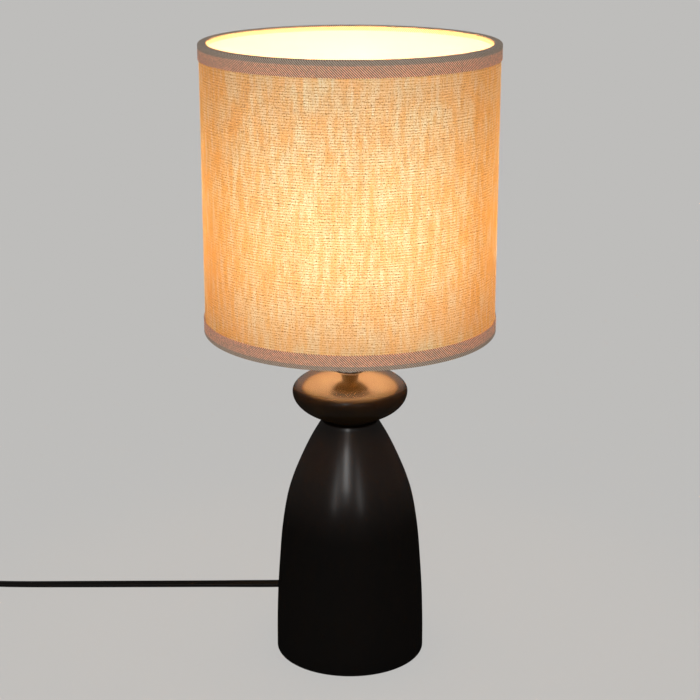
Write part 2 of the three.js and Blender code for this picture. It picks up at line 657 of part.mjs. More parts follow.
function switchCover() {
  const shell = new THREE.ExtrudeGeometry(
    roundedRectangle(SWITCH_LENGTH - 2 * SWITCH_WALL, SWITCH_WIDTH - 2 * SWITCH_WALL,
      SWITCH_CORNER - SWITCH_WALL),
    { depth: SWITCH_HEIGHT - SWITCH_SPLIT - SWITCH_WALL, bevelSize: SWITCH_WALL,
      bevelThickness: SWITCH_WALL, bevelSegments: 2, curveSegments: 5 },
  ).translate(0, 0, SWITCH_SPLIT);
  const below = block(SWITCH_LENGTH * 2, SWITCH_WIDTH * 2, -SWITCH_HEIGHT,
    SWITCH_SPLIT + SEAT_GAP / 2);
  const room = block(SWITCH_ROOM[0], SWITCH_ROOM[1], 0, SWITCH_HEIGHT - SWITCH_WALL);
  const window = block(ROCKER_SIZE[0] + 2 * TURNING_GAP, ROCKER_SIZE[1] + 2 * TURNING_GAP,
    SWITCH_SPLIT, SWITCH_HEIGHT * 2);
  const screwHole = rod(SWITCH_SCREW_RADIUS + SIDE_GAP, 0,
    switchBottom + SWITCH_SCREW_HEAD_HEIGHT + SWITCH_SCREW_LENGTH + 2 * SEAT_GAP,
    SCREW_FACETS);
  return cut(shell, below, room, window, cordTunnel(), ...atScrews(screwHole));
}

// The pin crosses the hollow of the cover from wall to wall and carries the rocker.
const rockerPinHeight = SWITCH_HEIGHT - SWITCH_WALL - ROCKER_PIN_RADIUS - 2 * SEAT_GAP;

function rockerPin() {
  return rod(ROCKER_PIN_RADIUS, -SWITCH_ROOM[1] / 2 + SEAT_GAP, SWITCH_ROOM[1] / 2 - SEAT_GAP,
    SCREW_FACETS).rotateX(Math.PI / 2);
}

// Side view with a shallow V on top, raised across the switch and tilted to its rest.
function rocker() {
  const [length, width, height] = ROCKER_SIZE;
  const x = length / 2 - TURNING_GAP;
  const crest = SWITCH_HEIGHT + ROCKER_PROUD - rockerPinHeight
    - x * Math.sin(THREE.MathUtils.degToRad(ROCKER_TILT));
  const foot = crest - height;
  const dip = x * Math.tan(THREE.MathUtils.degToRad(ROCKER_TILT)) / 2;
  const shoulder = foot + ROCKER_FOOT_CHAMFER;
  const side = new THREE.Shape([[-x, shoulder], [-x / 3, foot], [x / 3, foot], [x, shoulder],
    [x, crest], [0, crest - dip], [-x, crest]].map(([px, py]) => new THREE.Vector2(px, py)));
  const hole = new THREE.Path();
  hole.absarc(0, 0, ROCKER_PIN_RADIUS + SIDE_GAP, 0, Math.PI * 2, true);
  side.holes.push(hole);
  return new THREE.ExtrudeGeometry(side, { depth: width, bevelEnabled: false, curveSegments: 6 })
    .translate(0, 0, -width / 2).rotateX(Math.PI / 2);
}

function switchScrew() {
  const headTop = switchBottom + SWITCH_SCREW_HEAD_HEIGHT + SEAT_GAP;
  return turned([[0, switchBottom + SEAT_GAP], [SWITCH_SCREW_HEAD_RADIUS, switchBottom + SEAT_GAP],
    [SWITCH_SCREW_HEAD_RADIUS, headTop], [SWITCH_SCREW_RADIUS, headTop],
    [SWITCH_SCREW_RADIUS, headTop + SWITCH_SCREW_LENGTH], [0, headTop + SWITCH_SCREW_LENGTH]],
  SCREW_FACETS);
}

add('switch_base', switchBase(), blackPlastic, [0, 0, 0], switchFrame);
add('switch_cover', switchCover(), blackPlastic, [0, 0, 0], switchFrame);
add('rocker_pin', rockerPin(), zincSteel, [0, 0, rockerPinHeight], switchFrame);
add('switch_rocker', rocker(), blackPlastic, [0, 0, rockerPinHeight], switchFrame)
  .rotation.y = THREE.MathUtils.degToRad(-ROCKER_TILT);
atScrews(switchScrew()).forEach((screw, index) => {
  add(`switch_screw_${index + 1}`, screw, zincSteel, [0, 0, 0], switchFrame);
});
['in', 'out'].forEach((name, index) => {
  const x = (index - 0.5) * (SWITCH_CONTACT_GAP + SWITCH_CONTACT_SIZE[0]);
  const bottom = switchBottom + SWITCH_WALL + SEAT_GAP;
  add(`switch_contact_${name}`, block(SWITCH_CONTACT_SIZE[0], SWITCH_CONTACT_SIZE[1], bottom,
    bottom + SWITCH_CONTACT_SIZE[2]), brass, [x, 0, 0], switchFrame);
});

// ---- Cord on the table ----

const cordStart = glandTip + SEAT_GAP;
const switchEnds = [1, -1].map((side) => SWITCH_PLACE[0] + side * (SWITCH_LENGTH / 2 + SEAT_GAP));

// From the gland down to the table, round to the side and along to the switch.
const LAMP_CORD_ROUTE = [
  [0, cordStart, CORD_HOLE_HEIGHT], [-0.1, 78.4, CORD_HOLE_HEIGHT], [-2.6, 86.2, 7.8],
  [-8.6, 93.4, 6.5], [-17.4, 98.5, 5], [-29, 100.8, 3.6], [-43, 100.9, 2.9],
  [-60, 100.7, 2.7], [-90, 100.7, 2.6],
  [-130, 100.7, 2.5], [-170, 100.7, 2.35], [-210, 100.7, 2.2], [-250, 100.7, 2.1],
  [-274, 100.5, 2.2], [-286, 99.4, 3.3], [-296, 97.8, 5.2], [-303, 97, cordInletHeight],
  [switchEnds[0], SWITCH_PLACE[1], cordInletHeight],
];

// From the switch down to the table and up to the coil's outermost turn.
const COIL_LEAD_ROUTE = [
  [switchEnds[1], SWITCH_PLACE[1], cordInletHeight], [-371, 97.1, cordInletHeight],
  [-379, 97.5, 4.9], [-388, 97.9, 3.7], [-395.6, 98, 3.4],
];

// From the top of the coil down to the table and into the plug.
const PLUG_CORD_ROUTE = [
  [-395.6, 24, 10.5], [-389, 23.6, 10.3], [-380, 22.3, 9.4], [-370, 20.1, 8],
  [-361, 17.9, 7], [PLUG_PLACE[0] - SEAT_GAP, PLUG_PLACE[1], TABLE_GAP + PLUG_THICKNESS / 2],
];

add('lamp_cord', cordAlong(LAMP_CORD_ROUTE), blackRubber);
add('coil_lead', cordAlong(COIL_LEAD_ROUTE), blackRubber);
add('plug_cord', cordAlong(PLUG_CORD_ROUTE), blackRubber);

// ---- Coil of spare cord and its tie ----

const coilInnerRadius = COIL_TURN_RADII[0] - CORD_WIDTH / 2;
const coilOuterRadius = COIL_TURN_RADII[1] + CORD_WIDTH / 2;
const coilHeight = (COIL_LAYERS - 1) * COIL_LAYER_PITCH + CORD_THICKNESS;

function coilTie() {
  const bow = COIL_TIE_WIDTH ** 2 / (8 * coilInnerRadius); // of the ring within the tie's width
  const across = coilOuterRadius - coilInnerRadius + 2 * (SIDE_GAP + bow);
  const high = coilHeight + 2 * SIDE_GAP;
  const inner = roundedRectangle(across, high, COIL_TIE_CORNER);
  const outer = roundedRectangle(across + 2 * COIL_TIE_THICKNESS, high + 2 * COIL_TIE_THICKNESS,
    COIL_TIE_CORNER + COIL_TIE_THICKNESS);
  outer.holes.push(new THREE.Path(inner.getPoints(3).reverse()));
  return raised(outer, -COIL_TIE_WIDTH / 2, COIL_TIE_WIDTH / 2).rotateX(Math.PI / 2);
}

const coilBottom = TABLE_GAP + COIL_TIE_THICKNESS + SIDE_GAP;
add('cord_coil', collar(coilInnerRadius, coilOuterRadius, coilBottom, coilBottom + coilHeight,
  BODY_FACETS), blackRubber, [...COIL_PLACE, 0]);
add('coil_tie', coilTie(), blackPlastic, [
  COIL_PLACE[0] - (coilInnerRadius + coilOuterRadius) / 2, COIL_PLACE[1],
  coilBottom + coilHeight / 2,
]);

// ---- Plug ----

const plugFrame = new THREE.Group();
plugFrame.position.set(PLUG_PLACE[0], PLUG_PLACE[1], TABLE_GAP + PLUG_THICKNESS / 2);
lamp.add(plugFrame);

// The outline runs from the cord's end at x = 0 to the pins' face, with its sides bevelled.
function plugBody() {
  const [tail, side] = [PLUG_TAIL_WIDTH / 2 - PLUG_BEVEL, PLUG_WIDTH / 2 - PLUG_BEVEL];
  const [start, wide, end] = [PLUG_BEVEL, PLUG_TAPER, PLUG_LENGTH - PLUG_BEVEL];
  const outline = new THREE.Shape([[start, -tail], [wide, -side], [end, -side], [end, side],
    [wide, side], [start, tail]].map(([x, y]) => new THREE.Vector2(x, y)));
  const body = new THREE.ExtrudeGeometry(outline, { depth: PLUG_THICKNESS - 2 * PLUG_BEVEL,
    bevelSize: PLUG_BEVEL, bevelThickness: PLUG_BEVEL, bevelSegments: 2 })
    .translate(0, 0, -PLUG_THICKNESS / 2 + PLUG_BEVEL);
  const pinHole = rod(PIN_CORE_RADIUS + SIDE_GAP, -PIN_ROOT - SEAT_GAP, PIN_LENGTH)
    .rotateY(Math.PI / 2).translate(PLUG_LENGTH, 0, 0);
  return cut(body, ...[-1, 1].map((y) => pinHole.clone().translate(0, (y * PIN_SPACING) / 2, 0)));
}

function plugPin() {
  const bareFrom = PIN_SLEEVE_LENGTH + SEAT_GAP;
  return turned([[0, -PIN_ROOT], [PIN_CORE_RADIUS, -PIN_ROOT], [PIN_CORE_RADIUS, bareFrom],
    [PIN_RADIUS, bareFrom], [PIN_RADIUS, PIN_LENGTH - PIN_NOSE],
    [PIN_RADIUS - PIN_NOSE, PIN_LENGTH], [0, PIN_LENGTH]], SCREW_FACETS);
}

function pinSleeve() {
  return collar(PIN_CORE_RADIUS + SIDE_GAP, PIN_RADIUS, SEAT_GAP, PIN_SLEEVE_LENGTH,
    SCREW_FACETS);
}

add('plug_body', plugBody(), blackRubber, [0, 0, 0], plugFrame);
[1, 2].forEach((number) => {
  const place = [PLUG_LENGTH, (number - 1.5) * PIN_SPACING, 0];
  add(`plug_pin_${number}`, plugPin(), zincSteel, place, plugFrame).rotation.y = Math.PI / 2;
  add(`pin_sleeve_${number}`, pinSleeve(), blackPlastic, place, plugFrame).rotation.y = Math.PI / 2;
});

export default lamp;
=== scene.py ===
# %% [markdown]
# # A table lamp with a lit drum shade
#
# The lamp is a small stack of trades: a wood turner makes the body and the ball, a moulder makes the
# lampholder, the switch and the plug, and a shade maker laminates cloth on film and hangs it on a wire
# carrier. Each cell below makes one of those pieces, then gives it the finish that its trade leaves.
# The engineering model is loaded first. It gives the true sizes and places, so that little has to be
# fitted by eye, and every piece rides on the body that it belongs to.

# %% The tools and the fixed frame
import math

import bmesh
import bpy
import numpy as np
from mathutils import Matrix, Vector


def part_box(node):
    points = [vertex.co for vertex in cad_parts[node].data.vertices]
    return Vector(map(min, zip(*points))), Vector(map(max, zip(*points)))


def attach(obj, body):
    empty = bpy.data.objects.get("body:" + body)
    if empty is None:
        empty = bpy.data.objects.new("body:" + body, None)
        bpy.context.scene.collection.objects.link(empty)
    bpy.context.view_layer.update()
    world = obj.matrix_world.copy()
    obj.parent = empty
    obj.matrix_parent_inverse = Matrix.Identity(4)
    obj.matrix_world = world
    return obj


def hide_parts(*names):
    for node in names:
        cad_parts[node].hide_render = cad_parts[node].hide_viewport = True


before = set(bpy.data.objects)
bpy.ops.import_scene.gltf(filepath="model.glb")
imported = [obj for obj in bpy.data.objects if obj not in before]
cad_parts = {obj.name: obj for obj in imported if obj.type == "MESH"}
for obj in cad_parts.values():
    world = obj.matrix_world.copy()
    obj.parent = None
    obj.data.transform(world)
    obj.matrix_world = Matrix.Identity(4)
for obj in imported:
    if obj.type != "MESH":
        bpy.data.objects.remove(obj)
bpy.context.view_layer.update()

# %% [markdown]
# A maker thinks in millimetres and Blender in metres, so lengths are written in millimetres here and
# turned into metres in one place, where a mesh is made. `span` reads a CAD node's lowest and highest
# corners, which is where most sizes in this file come from.

# %% Millimetres and the frame's sizes
MM = 0.001
UP = Vector((0, 0, 1))


def span(node):
    """Lowest and highest corner of a CAD node at rest, in millimetres."""
    low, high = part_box(node)
    return low / MM, high / MM


print(f"the shade's cloth reaches up to {span('shade_cloth')[1].z:.1f} mm")

# %% [markdown]
# ## The camera
#
# A catalogue lamp is shown from a little above with a long lens, so that the rim of the shade opens
# into a shallow ellipse and the sides stay nearly upright. A lens of about 88 mm does that from just
# over a metre away. The camera looks straight along +Y, tipped down by 17 degrees.

# %% Camera
CAMERA_PLACE = (0.0, -1.143, 0.572)
CAMERA_TIP = 16.87  # degrees below level
CAMERA_LENS = 88.4

camera = bpy.data.objects.new("camera", bpy.data.cameras.new("camera"))
camera.data.lens = CAMERA_LENS
camera.location = CAMERA_PLACE
camera.rotation_euler = (math.radians(90 - CAMERA_TIP), 0, 0)
bpy.context.scene.collection.objects.link(camera)
bpy.context.scene.camera = camera
print("camera", CAMERA_PLACE, "lens", CAMERA_LENS)

# %% [markdown]
# ## Helpers for making meshes
#
# Almost everything on a lamp is turned, drawn through a die or moulded. So three mesh makers carry most
# of the work: `turn` spins a section about the lamp's axis, as a lathe does, `sweep` carries one along
# a line, and `loft` joins a row of rings of points into a skin. An edge is marked sharp only where the
# two faces meet at a clear angle, so a round side shades smoothly and a step keeps its crisp line.

# %% From points to a smooth-shaded object
SHARP = math.radians(32)


def mesh_object(name, points, faces):
    """A new object from points in millimetres, with smooth faces and its clear edges kept sharp."""
    mesh = bpy.data.meshes.new(name)
    mesh.from_pydata([Vector(point) * MM for point in points], [], faces)
    work = bmesh.new()
    work.from_mesh(mesh)
    bmesh.ops.recalc_face_normals(work, faces=work.faces)
    for face in work.faces:
        face.smooth = True
    for edge in work.edges:
        edge.smooth = len(edge.link_faces) < 2 or edge.calc_face_angle(0) < SHARP
    work.to_mesh(mesh)
    work.free()
    made = bpy.data.objects.new(name, mesh)
    bpy.context.scene.collection.objects.link(made)
    return made


print("sharp edges from", round(math.degrees(SHARP)), "degrees")


# %% Arcs, rounded corners and smooth lines
def arc(centre_x, centre_y, radius, start, end, steps=6):
    """Points of an arc, with its angles in degrees."""
    angles = [math.radians(start + (end - start) * i / steps) for i in range(steps + 1)]
    return [(centre_x + radius * math.cos(a), centre_y + radius * math.sin(a)) for a in angles]


def circle(radius, steps):
    return arc(0, 0, radius, 0, 360, steps)[:-1]


def rounded(corners, steps=5):
    """A closed outline of (x, y, rounding) corners, with an arc in place of each rounded one."""
    outline = []
    before, after = corners[-1:] + corners[:-1], corners[1:] + corners[:1]
    for (ax, ay, *_), (bx, by, radius), (cx, cy, *_) in zip(before, corners, after):
        if not radius:
            outline.append((bx, by))
            continue
        corner = Vector((bx, by))
        back = (Vector((ax, ay)) - corner).normalized()
        on = (Vector((cx, cy)) - corner).normalized()
        half = back.angle(on) / 2
        centre = corner + (back + on).normalized() * (radius / math.sin(half))
        start = corner + back * (radius / math.tan(half)) - centre
        end = corner + on * (radius / math.tan(half)) - centre
        first, sweep_angle = math.atan2(start.y, start.x), start.angle_signed(end)
        outline += arc(*centre, radius, math.degrees(first), math.degrees(first - sweep_angle), steps)
    return outline


def rounded_box(width, height, corner, steps):
    """The outline of a rounded rectangle about the origin."""
    x, y = width / 2, height / 2
    return rounded([(x, y, corner), (-x, y, corner), (-x, -y, corner), (x, -y, corner)], steps)


def smooth_line(points, steps):
    """A Catmull-Rom line through the points, with so many short steps from each to the next."""
    rest = [Vector(point) for point in points]
    rest = [2 * rest[0] - rest[1], *rest, 2 * rest[-1] - rest[-2]]
    line = []
    for a, b, c, d in zip(rest, rest[1:], rest[2:], rest[3:]):
        for step in range(steps):
            t = step / steps
            bend = (2 * a - 5 * b + 4 * c - d) * t * t + (3 * b - a - 3 * c + d) * t**3
            line.append(0.5 * (2 * b + (c - a) * t + bend))
    return [*line, rest[-2]]


def eased(share):
    """Lets a share between 0 and 1 start and end softly."""
    return share * share * (3 - 2 * share)


print("a rounded square of 5 mm has", len(rounded_box(5, 5, 1, 5)), "points")


# %% Lofting, sweeping and turning
def loft(name, rings, closed=False):
    """A skin over equal rings of points, capped at both ends, or joined end to end when closed."""
    count, size = len(rings), len(rings[0])
    faces = []
    for ring in range(count if closed else count - 1):
        low, high = ring * size, (ring + 1) % count * size
        for i in range(size):
            j = (i + 1) % size
            faces.append((low + i, low + j, high + j, high + i))
    if not closed:
        faces += [tuple(range(size)), tuple(range((count - 1) * size, count * size))]
    return mesh_object(name, [point for ring in rings for point in ring], faces)


def sweep(name, line, outline, square_to=UP, leans=None):
    """Carries an outline of (across, over) points along a line. Across stays square to the given
    direction, and leans turns the outline, in degrees, at each point of the line."""
    rings = []
    for i, point in enumerate(line):
        along = (line[min(i + 1, len(line) - 1)] - line[max(i - 1, 0)]).normalized()
        side = square_to.cross(along).normalized()
        top = along.cross(side)
        lean = 0.0 if leans is None else math.radians(leans[i])
        across = side * math.cos(lean) - top * math.sin(lean)
        over = side * math.sin(lean) + top * math.cos(lean)
        rings.append([point + across * x + over * y for x, y in outline])
    return loft(name, rings)


def rod(name, start, end, radius, facets=24):
    """A plain round rod between two points."""
    along = (Vector(end) - Vector(start)).normalized()
    across = along.orthogonal().normalized()
    over = along.cross(across)
    ring = [across * x + over * y for x, y in circle(radius, facets)]
    return loft(name, [[Vector(place) + point for point in ring] for place in (start, end)])


def turn(name, section, facets=160, wobble=None):
    """Spins a closed section of (radius, height) about Z. wobble(angle, radius, height) may move a
    point in or out, for ribs and threads. A section that starts and ends on the axis gets poles."""
    on_axis = section[0][0] == 0 and section[-1][0] == 0
    ring_points = section[1:-1] if on_axis else section
    rings = []
    for step in range(facets):
        angle = 2 * math.pi * step / facets
        ring = []
        for radius, height in ring_points:
            radius = wobble(angle, radius, height) if wobble else radius
            ring.append((radius * math.cos(angle), radius * math.sin(angle), height))
        rings.append(ring)
    if not on_axis:
        return loft(name, rings, closed=True)
    size, points, faces = len(ring_points), [p for ring in rings for p in ring], []
    poles = [len(points), len(points) + 1]
    points += [(0, 0, section[0][1]), (0, 0, section[-1][1])]
    for step in range(facets):
        here, there = step * size, (step + 1) % facets * size
        faces += [(here + i, here + i + 1, there + i + 1, there + i) for i in range(size - 1)]
        faces += [(poles[0], here, there), (poles[1], there + size - 1, here + size - 1)]
    return mesh_object(name, points, faces)


def collar(name, node, bore, eases):
    """A round collar as tall and wide as its CAD node. eases are the roundings of its section's
    corners, from the bore's lower edge outwards and up."""
    low, high = span(node)
    corners = zip((bore, high.x, high.x, bore), (low.z, low.z, high.z, high.z), eases)
    return turn(name, rounded(list(corners), 3), 96)


print("makers:", ", ".join(maker.__name__ for maker in (loft, sweep, rod, turn, collar)))

# %% [markdown]
# A hole is cut with Blender's exact boolean, which keeps both surfaces clean, and the tool is thrown
# away. A turned piece can then be laid over, such as a pin that points along the plug.


# %% Cutting, laying over and fitting
def cut(piece, *tools):
    """Cuts each tool out of the piece and throws the tool away."""
    for tool in tools:
        boolean = piece.modifiers.new("cut", "BOOLEAN")
        boolean.operation, boolean.object, boolean.solver = "DIFFERENCE", tool, "EXACT"
        bpy.context.view_layer.update()
        ready = piece.evaluated_get(bpy.context.evaluated_depsgraph_get())
        mesh = bpy.data.meshes.new_from_object(ready)
        piece.modifiers.clear()
        piece.data = mesh
        bpy.data.objects.remove(tool)
    return piece


def lay(piece, degrees, axis, place=(0, 0, 0)):
    """Turns a piece about one of the axes and carries it to its place in millimetres."""
    piece.data.transform(Matrix.Rotation(math.radians(degrees), 4, axis))
    piece.data.transform(Matrix.Translation(Vector(place) * MM))
    return piece


def fit(piece, finish, slot, body, *nodes):
    """Gives a whole piece its finish, sets it on its body, and lets it stand for its CAD nodes.
    slot is not used."""
    piece.data.materials.clear()
    piece.data.materials.append(finish)
    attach(piece, body)
    if nodes:
        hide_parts(*nodes)


# %% [markdown]
# ## Helpers for finishes
#
# Colours are written as the sRGB hex values that a paint card gives, and Blender's shaders want linear
# light, so one function turns them over. A finish starts as a Principled shader. `add_node` adds one
# node with its settings and links, and `per_mm` gives the scale at which a noise pattern repeats about
# once in so many millimetres, so that grain and weave keep their real size. Where light passes through
# a piece or comes out of it, `mix_in` shows a second shader beside the Principled one.


# %% Colours, finishes and nodes
def linear(hex_colour):
    """An sRGB hex colour as linear red, green, blue and alpha."""
    parts = [int(hex_colour[i : i + 2], 16) / 255 for i in (1, 3, 5)]
    return (*[p / 12.92 if p <= 0.04045 else ((p + 0.055) / 1.055) ** 2.4 for p in parts], 1.0)


def per_mm(size):
    """The texture scale, in repeats per metre, of a pattern of this size in millimetres."""
    return 1 / (size * MM)


def give(owner, socket, value):
    """Gives a socket a plain value, another node's output, or a node's first output."""
    if isinstance(value, bpy.types.Node):
        value = value.outputs[0]
    if isinstance(value, bpy.types.NodeSocket):
        owner.node_tree.links.new(value, socket)
    else:
        socket.default_value = value


def add_node(owner, kind, feeds=None, **settings):
    """Adds one shader node. feeds are what its inputs are given."""
    made = owner.node_tree.nodes.new("ShaderNode" + kind)
    for setting, value in settings.items():
        setattr(made, setting, value)
    for socket, value in (feeds or {}).items():
        give(owner, made.inputs[socket], value)
    return made


def feed(finish, socket, value):
    """Gives one of the Principled shader's sockets its value."""
    give(finish, finish.node_tree.nodes["Principled BSDF"].inputs[socket], value)


def new_finish(name, colour, **sockets):
    """A Principled material. Sockets are named with underscores, as Coat_Weight for Coat Weight."""
    finish = bpy.data.materials.new(name)
    finish.use_nodes = True
    feed(finish, "Base Color", linear(colour))
    for socket, value in sockets.items():
        feed(finish, socket.replace("_", " "), value)
    return finish


def mix_in(finish, share, shader):
    """Shows another shader in place of this share of the Principled one."""
    nodes = finish.node_tree.nodes
    mixed = add_node(finish, "MixShader", {0: share, 1: nodes["Principled BSDF"], 2: shader})
    give(finish, nodes["Material Output"].inputs["Surface"], mixed)


print("mid grey is", round(linear("#808080")[0], 3), "in linear light")


# %% Places, noise and what they drive
def place_on(finish):
    """The X, Y and Z outputs of a point's place at rest, in metres from the lamp's foot."""
    place = add_node(finish, "TexCoord").outputs["Object"]
    return add_node(finish, "SeparateXYZ", {0: place}).outputs


def speckle(finish, size, stretch=(1, 1, 1), detail=3.0, place=None):
    """Noise of about this size in millimetres, fixed to the piece, or to another place when one is
    given. stretch makes it longer in a direction: 8 there means that the flecks are 8 times as
    long."""
    place = place or add_node(finish, "TexCoord").outputs["Object"]
    mapped = add_node(finish, "Mapping", {"Vector": place, "Scale": [1 / part for part in stretch]})
    feeds = {"Vector": mapped, "Scale": per_mm(size), "Detail": detail}
    return add_node(finish, "TexNoise", feeds).outputs["Fac"]


def sum_of(finish, start, *parts):
    """Adds (value, weight) pairs to a plain number."""
    total = start
    for value, weight in parts:
        total = add_node(finish, "Math", {0: value, 1: weight, 2: total}, operation="MULTIPLY_ADD")
    return total


def vary(finish, socket, amount, low, high):
    """Feeds a socket with a value that runs from low to high as amount runs from 0.3 to 0.7."""
    feeds = {"Value": amount, "From Min": 0.3, "From Max": 0.7, "To Min": low, "To Max": high}
    feed(finish, socket, add_node(finish, "MapRange", feeds))


def two_tone(finish, amount, dark, light):
    """Feeds the base colour with a mix of two colours."""
    feeds = {0: amount, 6: linear(dark), 7: linear(light)}
    feed(finish, "Base Color", add_node(finish, "Mix", feeds, data_type="RGBA").outputs[2])


def relief(finish, height, depth, strength=1.0, **settings):
    """Raises the surface by up to depth millimetres, as a bump."""
    feeds = {"Height": height, "Distance": depth * MM, "Strength": strength}
    feed(finish, "Normal", add_node(finish, "Bump", feeds, **settings))


print("a pattern of 2 mm repeats", round(per_mm(2)), "times a metre")

# %% [markdown]
# ## The plastics and the soft PVC
#
# The flex's sheath and the plug are soft PVC. It is extruded or moulded, so it is smooth and satin, with
# a faint waviness and a very fine orange peel. Plain PVC has an IOR of about 1.52. Here it is 1.14,
# matched to the object, whose flex mirrors much less than that. The lampholder and the switch are a hard
# thermoplastic, taken to come from a spark-eroded mould with a fine matt texture. Such a texture is a
# few hundredths of a millimetre across. It is drawn at 0.5 mm so that it shows as a slight grain.

# %% Soft PVC and moulded black plastic
black_pvc = new_finish("soft_pvc_extruded", "#0a0a0a", Roughness=0.38, IOR=1.14)
vary(black_pvc, "Roughness", speckle(black_pvc, 9), 0.32, 0.46)
relief(black_pvc, speckle(black_pvc, 1.6), 0.02)

black_plastic = new_finish("thermoplastic_spark_eroded", "#171717", Roughness=0.45, IOR=1.49)
vary(black_plastic, "Roughness", speckle(black_plastic, 12), 0.40, 0.52)
relief(black_plastic, speckle(black_plastic, 0.5), 0.02)
print("finishes:", black_pvc.name, black_plastic.name)

# %% [markdown]
# ## The mains flex
#
# The lamp hangs on 1.8 m of flat two-core flex, 5.8 mm wide and 3.5 mm thick. It leaves the gland at
# the back, drops to the table and runs off to the left, where the hand switch sits. The rest is wound
# into a neat coil beside the switch, as it would be put away. A bevelled curve could make it, but a
# flat section's twist has to be given: flat flex comes off its drum with a lean, so here it tilts half
# over near the lamp and lies almost flat further out. So the section is swept in mesh code.

# %% Flat flex: its section
FLEX_WIDTH = 5.8
FLEX_THICKNESS = 3.5
FLEX_ROOM = 0.3  # between the flex and a hole it runs through

flex_side = arc((FLEX_WIDTH - FLEX_THICKNESS) / 2, 0, FLEX_THICKNESS / 2, -90, 90, 8)
flex_section = [*flex_side, *[(-across, -up) for across, up in flex_side]]
flex_bore = FLEX_WIDTH / 2 + FLEX_ROOM


def length_of(line):
    return sum((b - a).length for a, b in zip(line, line[1:]))


print("flex section of", len(flex_section), "points")

# %% Flex from the lamp to the switch
LAMP_FLEX_ROUTE = [
    (0, 75.5, 8.5), (-0.1, 78.4, 8.5), (-2.6, 86.2, 7.8), (-8.6, 93.4, 6.5), (-17.4, 98.5, 5),
    (-29, 100.8, 3.6), (-43, 100.9, 2.9), (-60, 100.2, 2.7), (-90, 100.2, 2.6), (-130, 100.1, 2.5),
    (-170, 100.1, 2.35), (-210, 100.1, 2.2), (-250, 100.1, 2.1), (-274, 100.5, 2.2),
    (-286, 99.4, 3.3), (-296, 97.8, 5.2), (-303, 97, 6), (-305.7, 97, 6),
]
# Distance to the left of the lamp, and the flex's tilt there in degrees
FLEX_LEAN = [(0, 0), (12, 20), (45, 50), (75, 44), (110, 26), (200, 20), (276, 10), (300, 0)]

lamp_line = smooth_line(LAMP_FLEX_ROUTE, 6)
lamp_leans = np.interp([-point.x for point in lamp_line], *zip(*FLEX_LEAN))
lamp_flex = sweep("lamp_flex", lamp_line, flex_section, leans=lamp_leans)
fit(lamp_flex, black_pvc, "black_pvc", "lamp", "lamp_cord")
print(f"flex from lamp to switch: {length_of(lamp_line):.0f} mm")

# %% [markdown]
# The coil is what fits in its CAD ring: three turns side by side, three more on top of them, and half a
# turn that leaves for the plug. Each turn runs round at its own radius and steps over to the next in its
# last part. One loop works out the angle, the radius and the height from the number of turns made.

# %% Flex from the switch round the coil to the plug
COIL_LEAD_ROUTE = [(-368.3, 97, 6), (-371, 97.1, 6), (-379, 97.5, 4.9), (-388, 97.9, 3.7), (-395.6, 98, 3.4)]
PLUG_FLEX_ROUTE = [(-395.6, 24, 10.5), (-389, 23.6, 10.3), (-380, 22.3, 9.4), (-370, 20.1, 8),
                   (-361, 17.9, 7), (-351.3, 17, 6.8)]
TURN_RADII = [37, 31, 25, 25, 31, 37, 37]  # of each turn in the order of winding
TURN_LAYERS = [0, 0, 0, 1, 1, 1, 2]
TURNS = 6.5
STEP_OVER = 0.16  # share of a turn in which the flex steps to the next radius and layer
POINTS_A_TURN = 48

coil_low, coil_high = span("cord_coil")
coil_middle = (coil_low + coil_high) / 2
layer_rise = (coil_high.z - coil_low.z - FLEX_THICKNESS) / max(TURN_LAYERS)


def coil_point(turns):
    """The middle of the flex after so many turns, anticlockwise from the coil's far side."""
    now = min(int(turns), len(TURN_RADII) - 1)
    following = min(now + 1, len(TURN_RADII) - 1)
    share = eased(max(0, (turns - now - 1 + STEP_OVER) / STEP_OVER))
    radius = TURN_RADII[now] + (TURN_RADII[following] - TURN_RADII[now]) * share
    layer = TURN_LAYERS[now] + (TURN_LAYERS[following] - TURN_LAYERS[now]) * share
    angle = math.radians(90) + 2 * math.pi * turns
    return Vector((coil_middle.x + radius * math.cos(angle), coil_middle.y + radius * math.sin(angle),
                   coil_low.z + FLEX_THICKNESS / 2 + layer * layer_rise))


coil_line = [coil_point(i / POINTS_A_TURN) for i in range(int(TURNS * POINTS_A_TURN) + 1)]
spare_line = [*smooth_line(COIL_LEAD_ROUTE, 4), *coil_line, *smooth_line(PLUG_FLEX_ROUTE, 4)]
spare_flex = sweep("spare_flex", spare_line, flex_section)
fit(spare_flex, black_pvc, "black_pvc", "lamp", "coil_lead", "cord_coil", "plug_cord")
print(f"flex from switch to plug: {length_of(spare_line):.0f} mm, coil {length_of(coil_line):.0f} mm")

# %% [markdown]
# ## The turned body
#
# The body is a bullet of rubberwood, turned between centres, bored for the tube and hollowed at the
# foot. Its side is one long curve that is nearly upright below and leans in faster and faster above.
# A few shares of the height and radius hold that curve, and a smooth line is drawn through them.
# The foot and the top edge are eased with a small radius, as a turner does with sandpaper, and that
# radius is what catches the light under the ball. The wire's hole is bored through the back of the foot.

# %% Body
BODY_SIDE = [(0.12, 0.997), (0.26, 0.982), (0.4, 0.952), (0.53, 0.915), (0.66, 0.848), (0.75, 0.764),
             (0.84, 0.645), (0.92, 0.521)]  # shares of the height and the radius
BODY_TOP_RADIUS = 20.5
BODY_EDGE = 1.5
FOOT_HOLLOW_RADIUS = 32
WIRE_HOLE_RADIUS = 4.9
BEYOND = 7  # how far a cutting rod reaches out of the wood
GAP = 0.3  # between parts that rest on each other

body_low, body_high = span("turned_body")
felt_high = span("base_felt")[1]
tube_high = span("threaded_tube")[1]
gland_low, gland_high = span("cord_gland")
gland_height = (gland_low.z + gland_high.z) / 2
hollow_top = span("foot_washer")[1].z + GAP
bore = tube_high.x + GAP


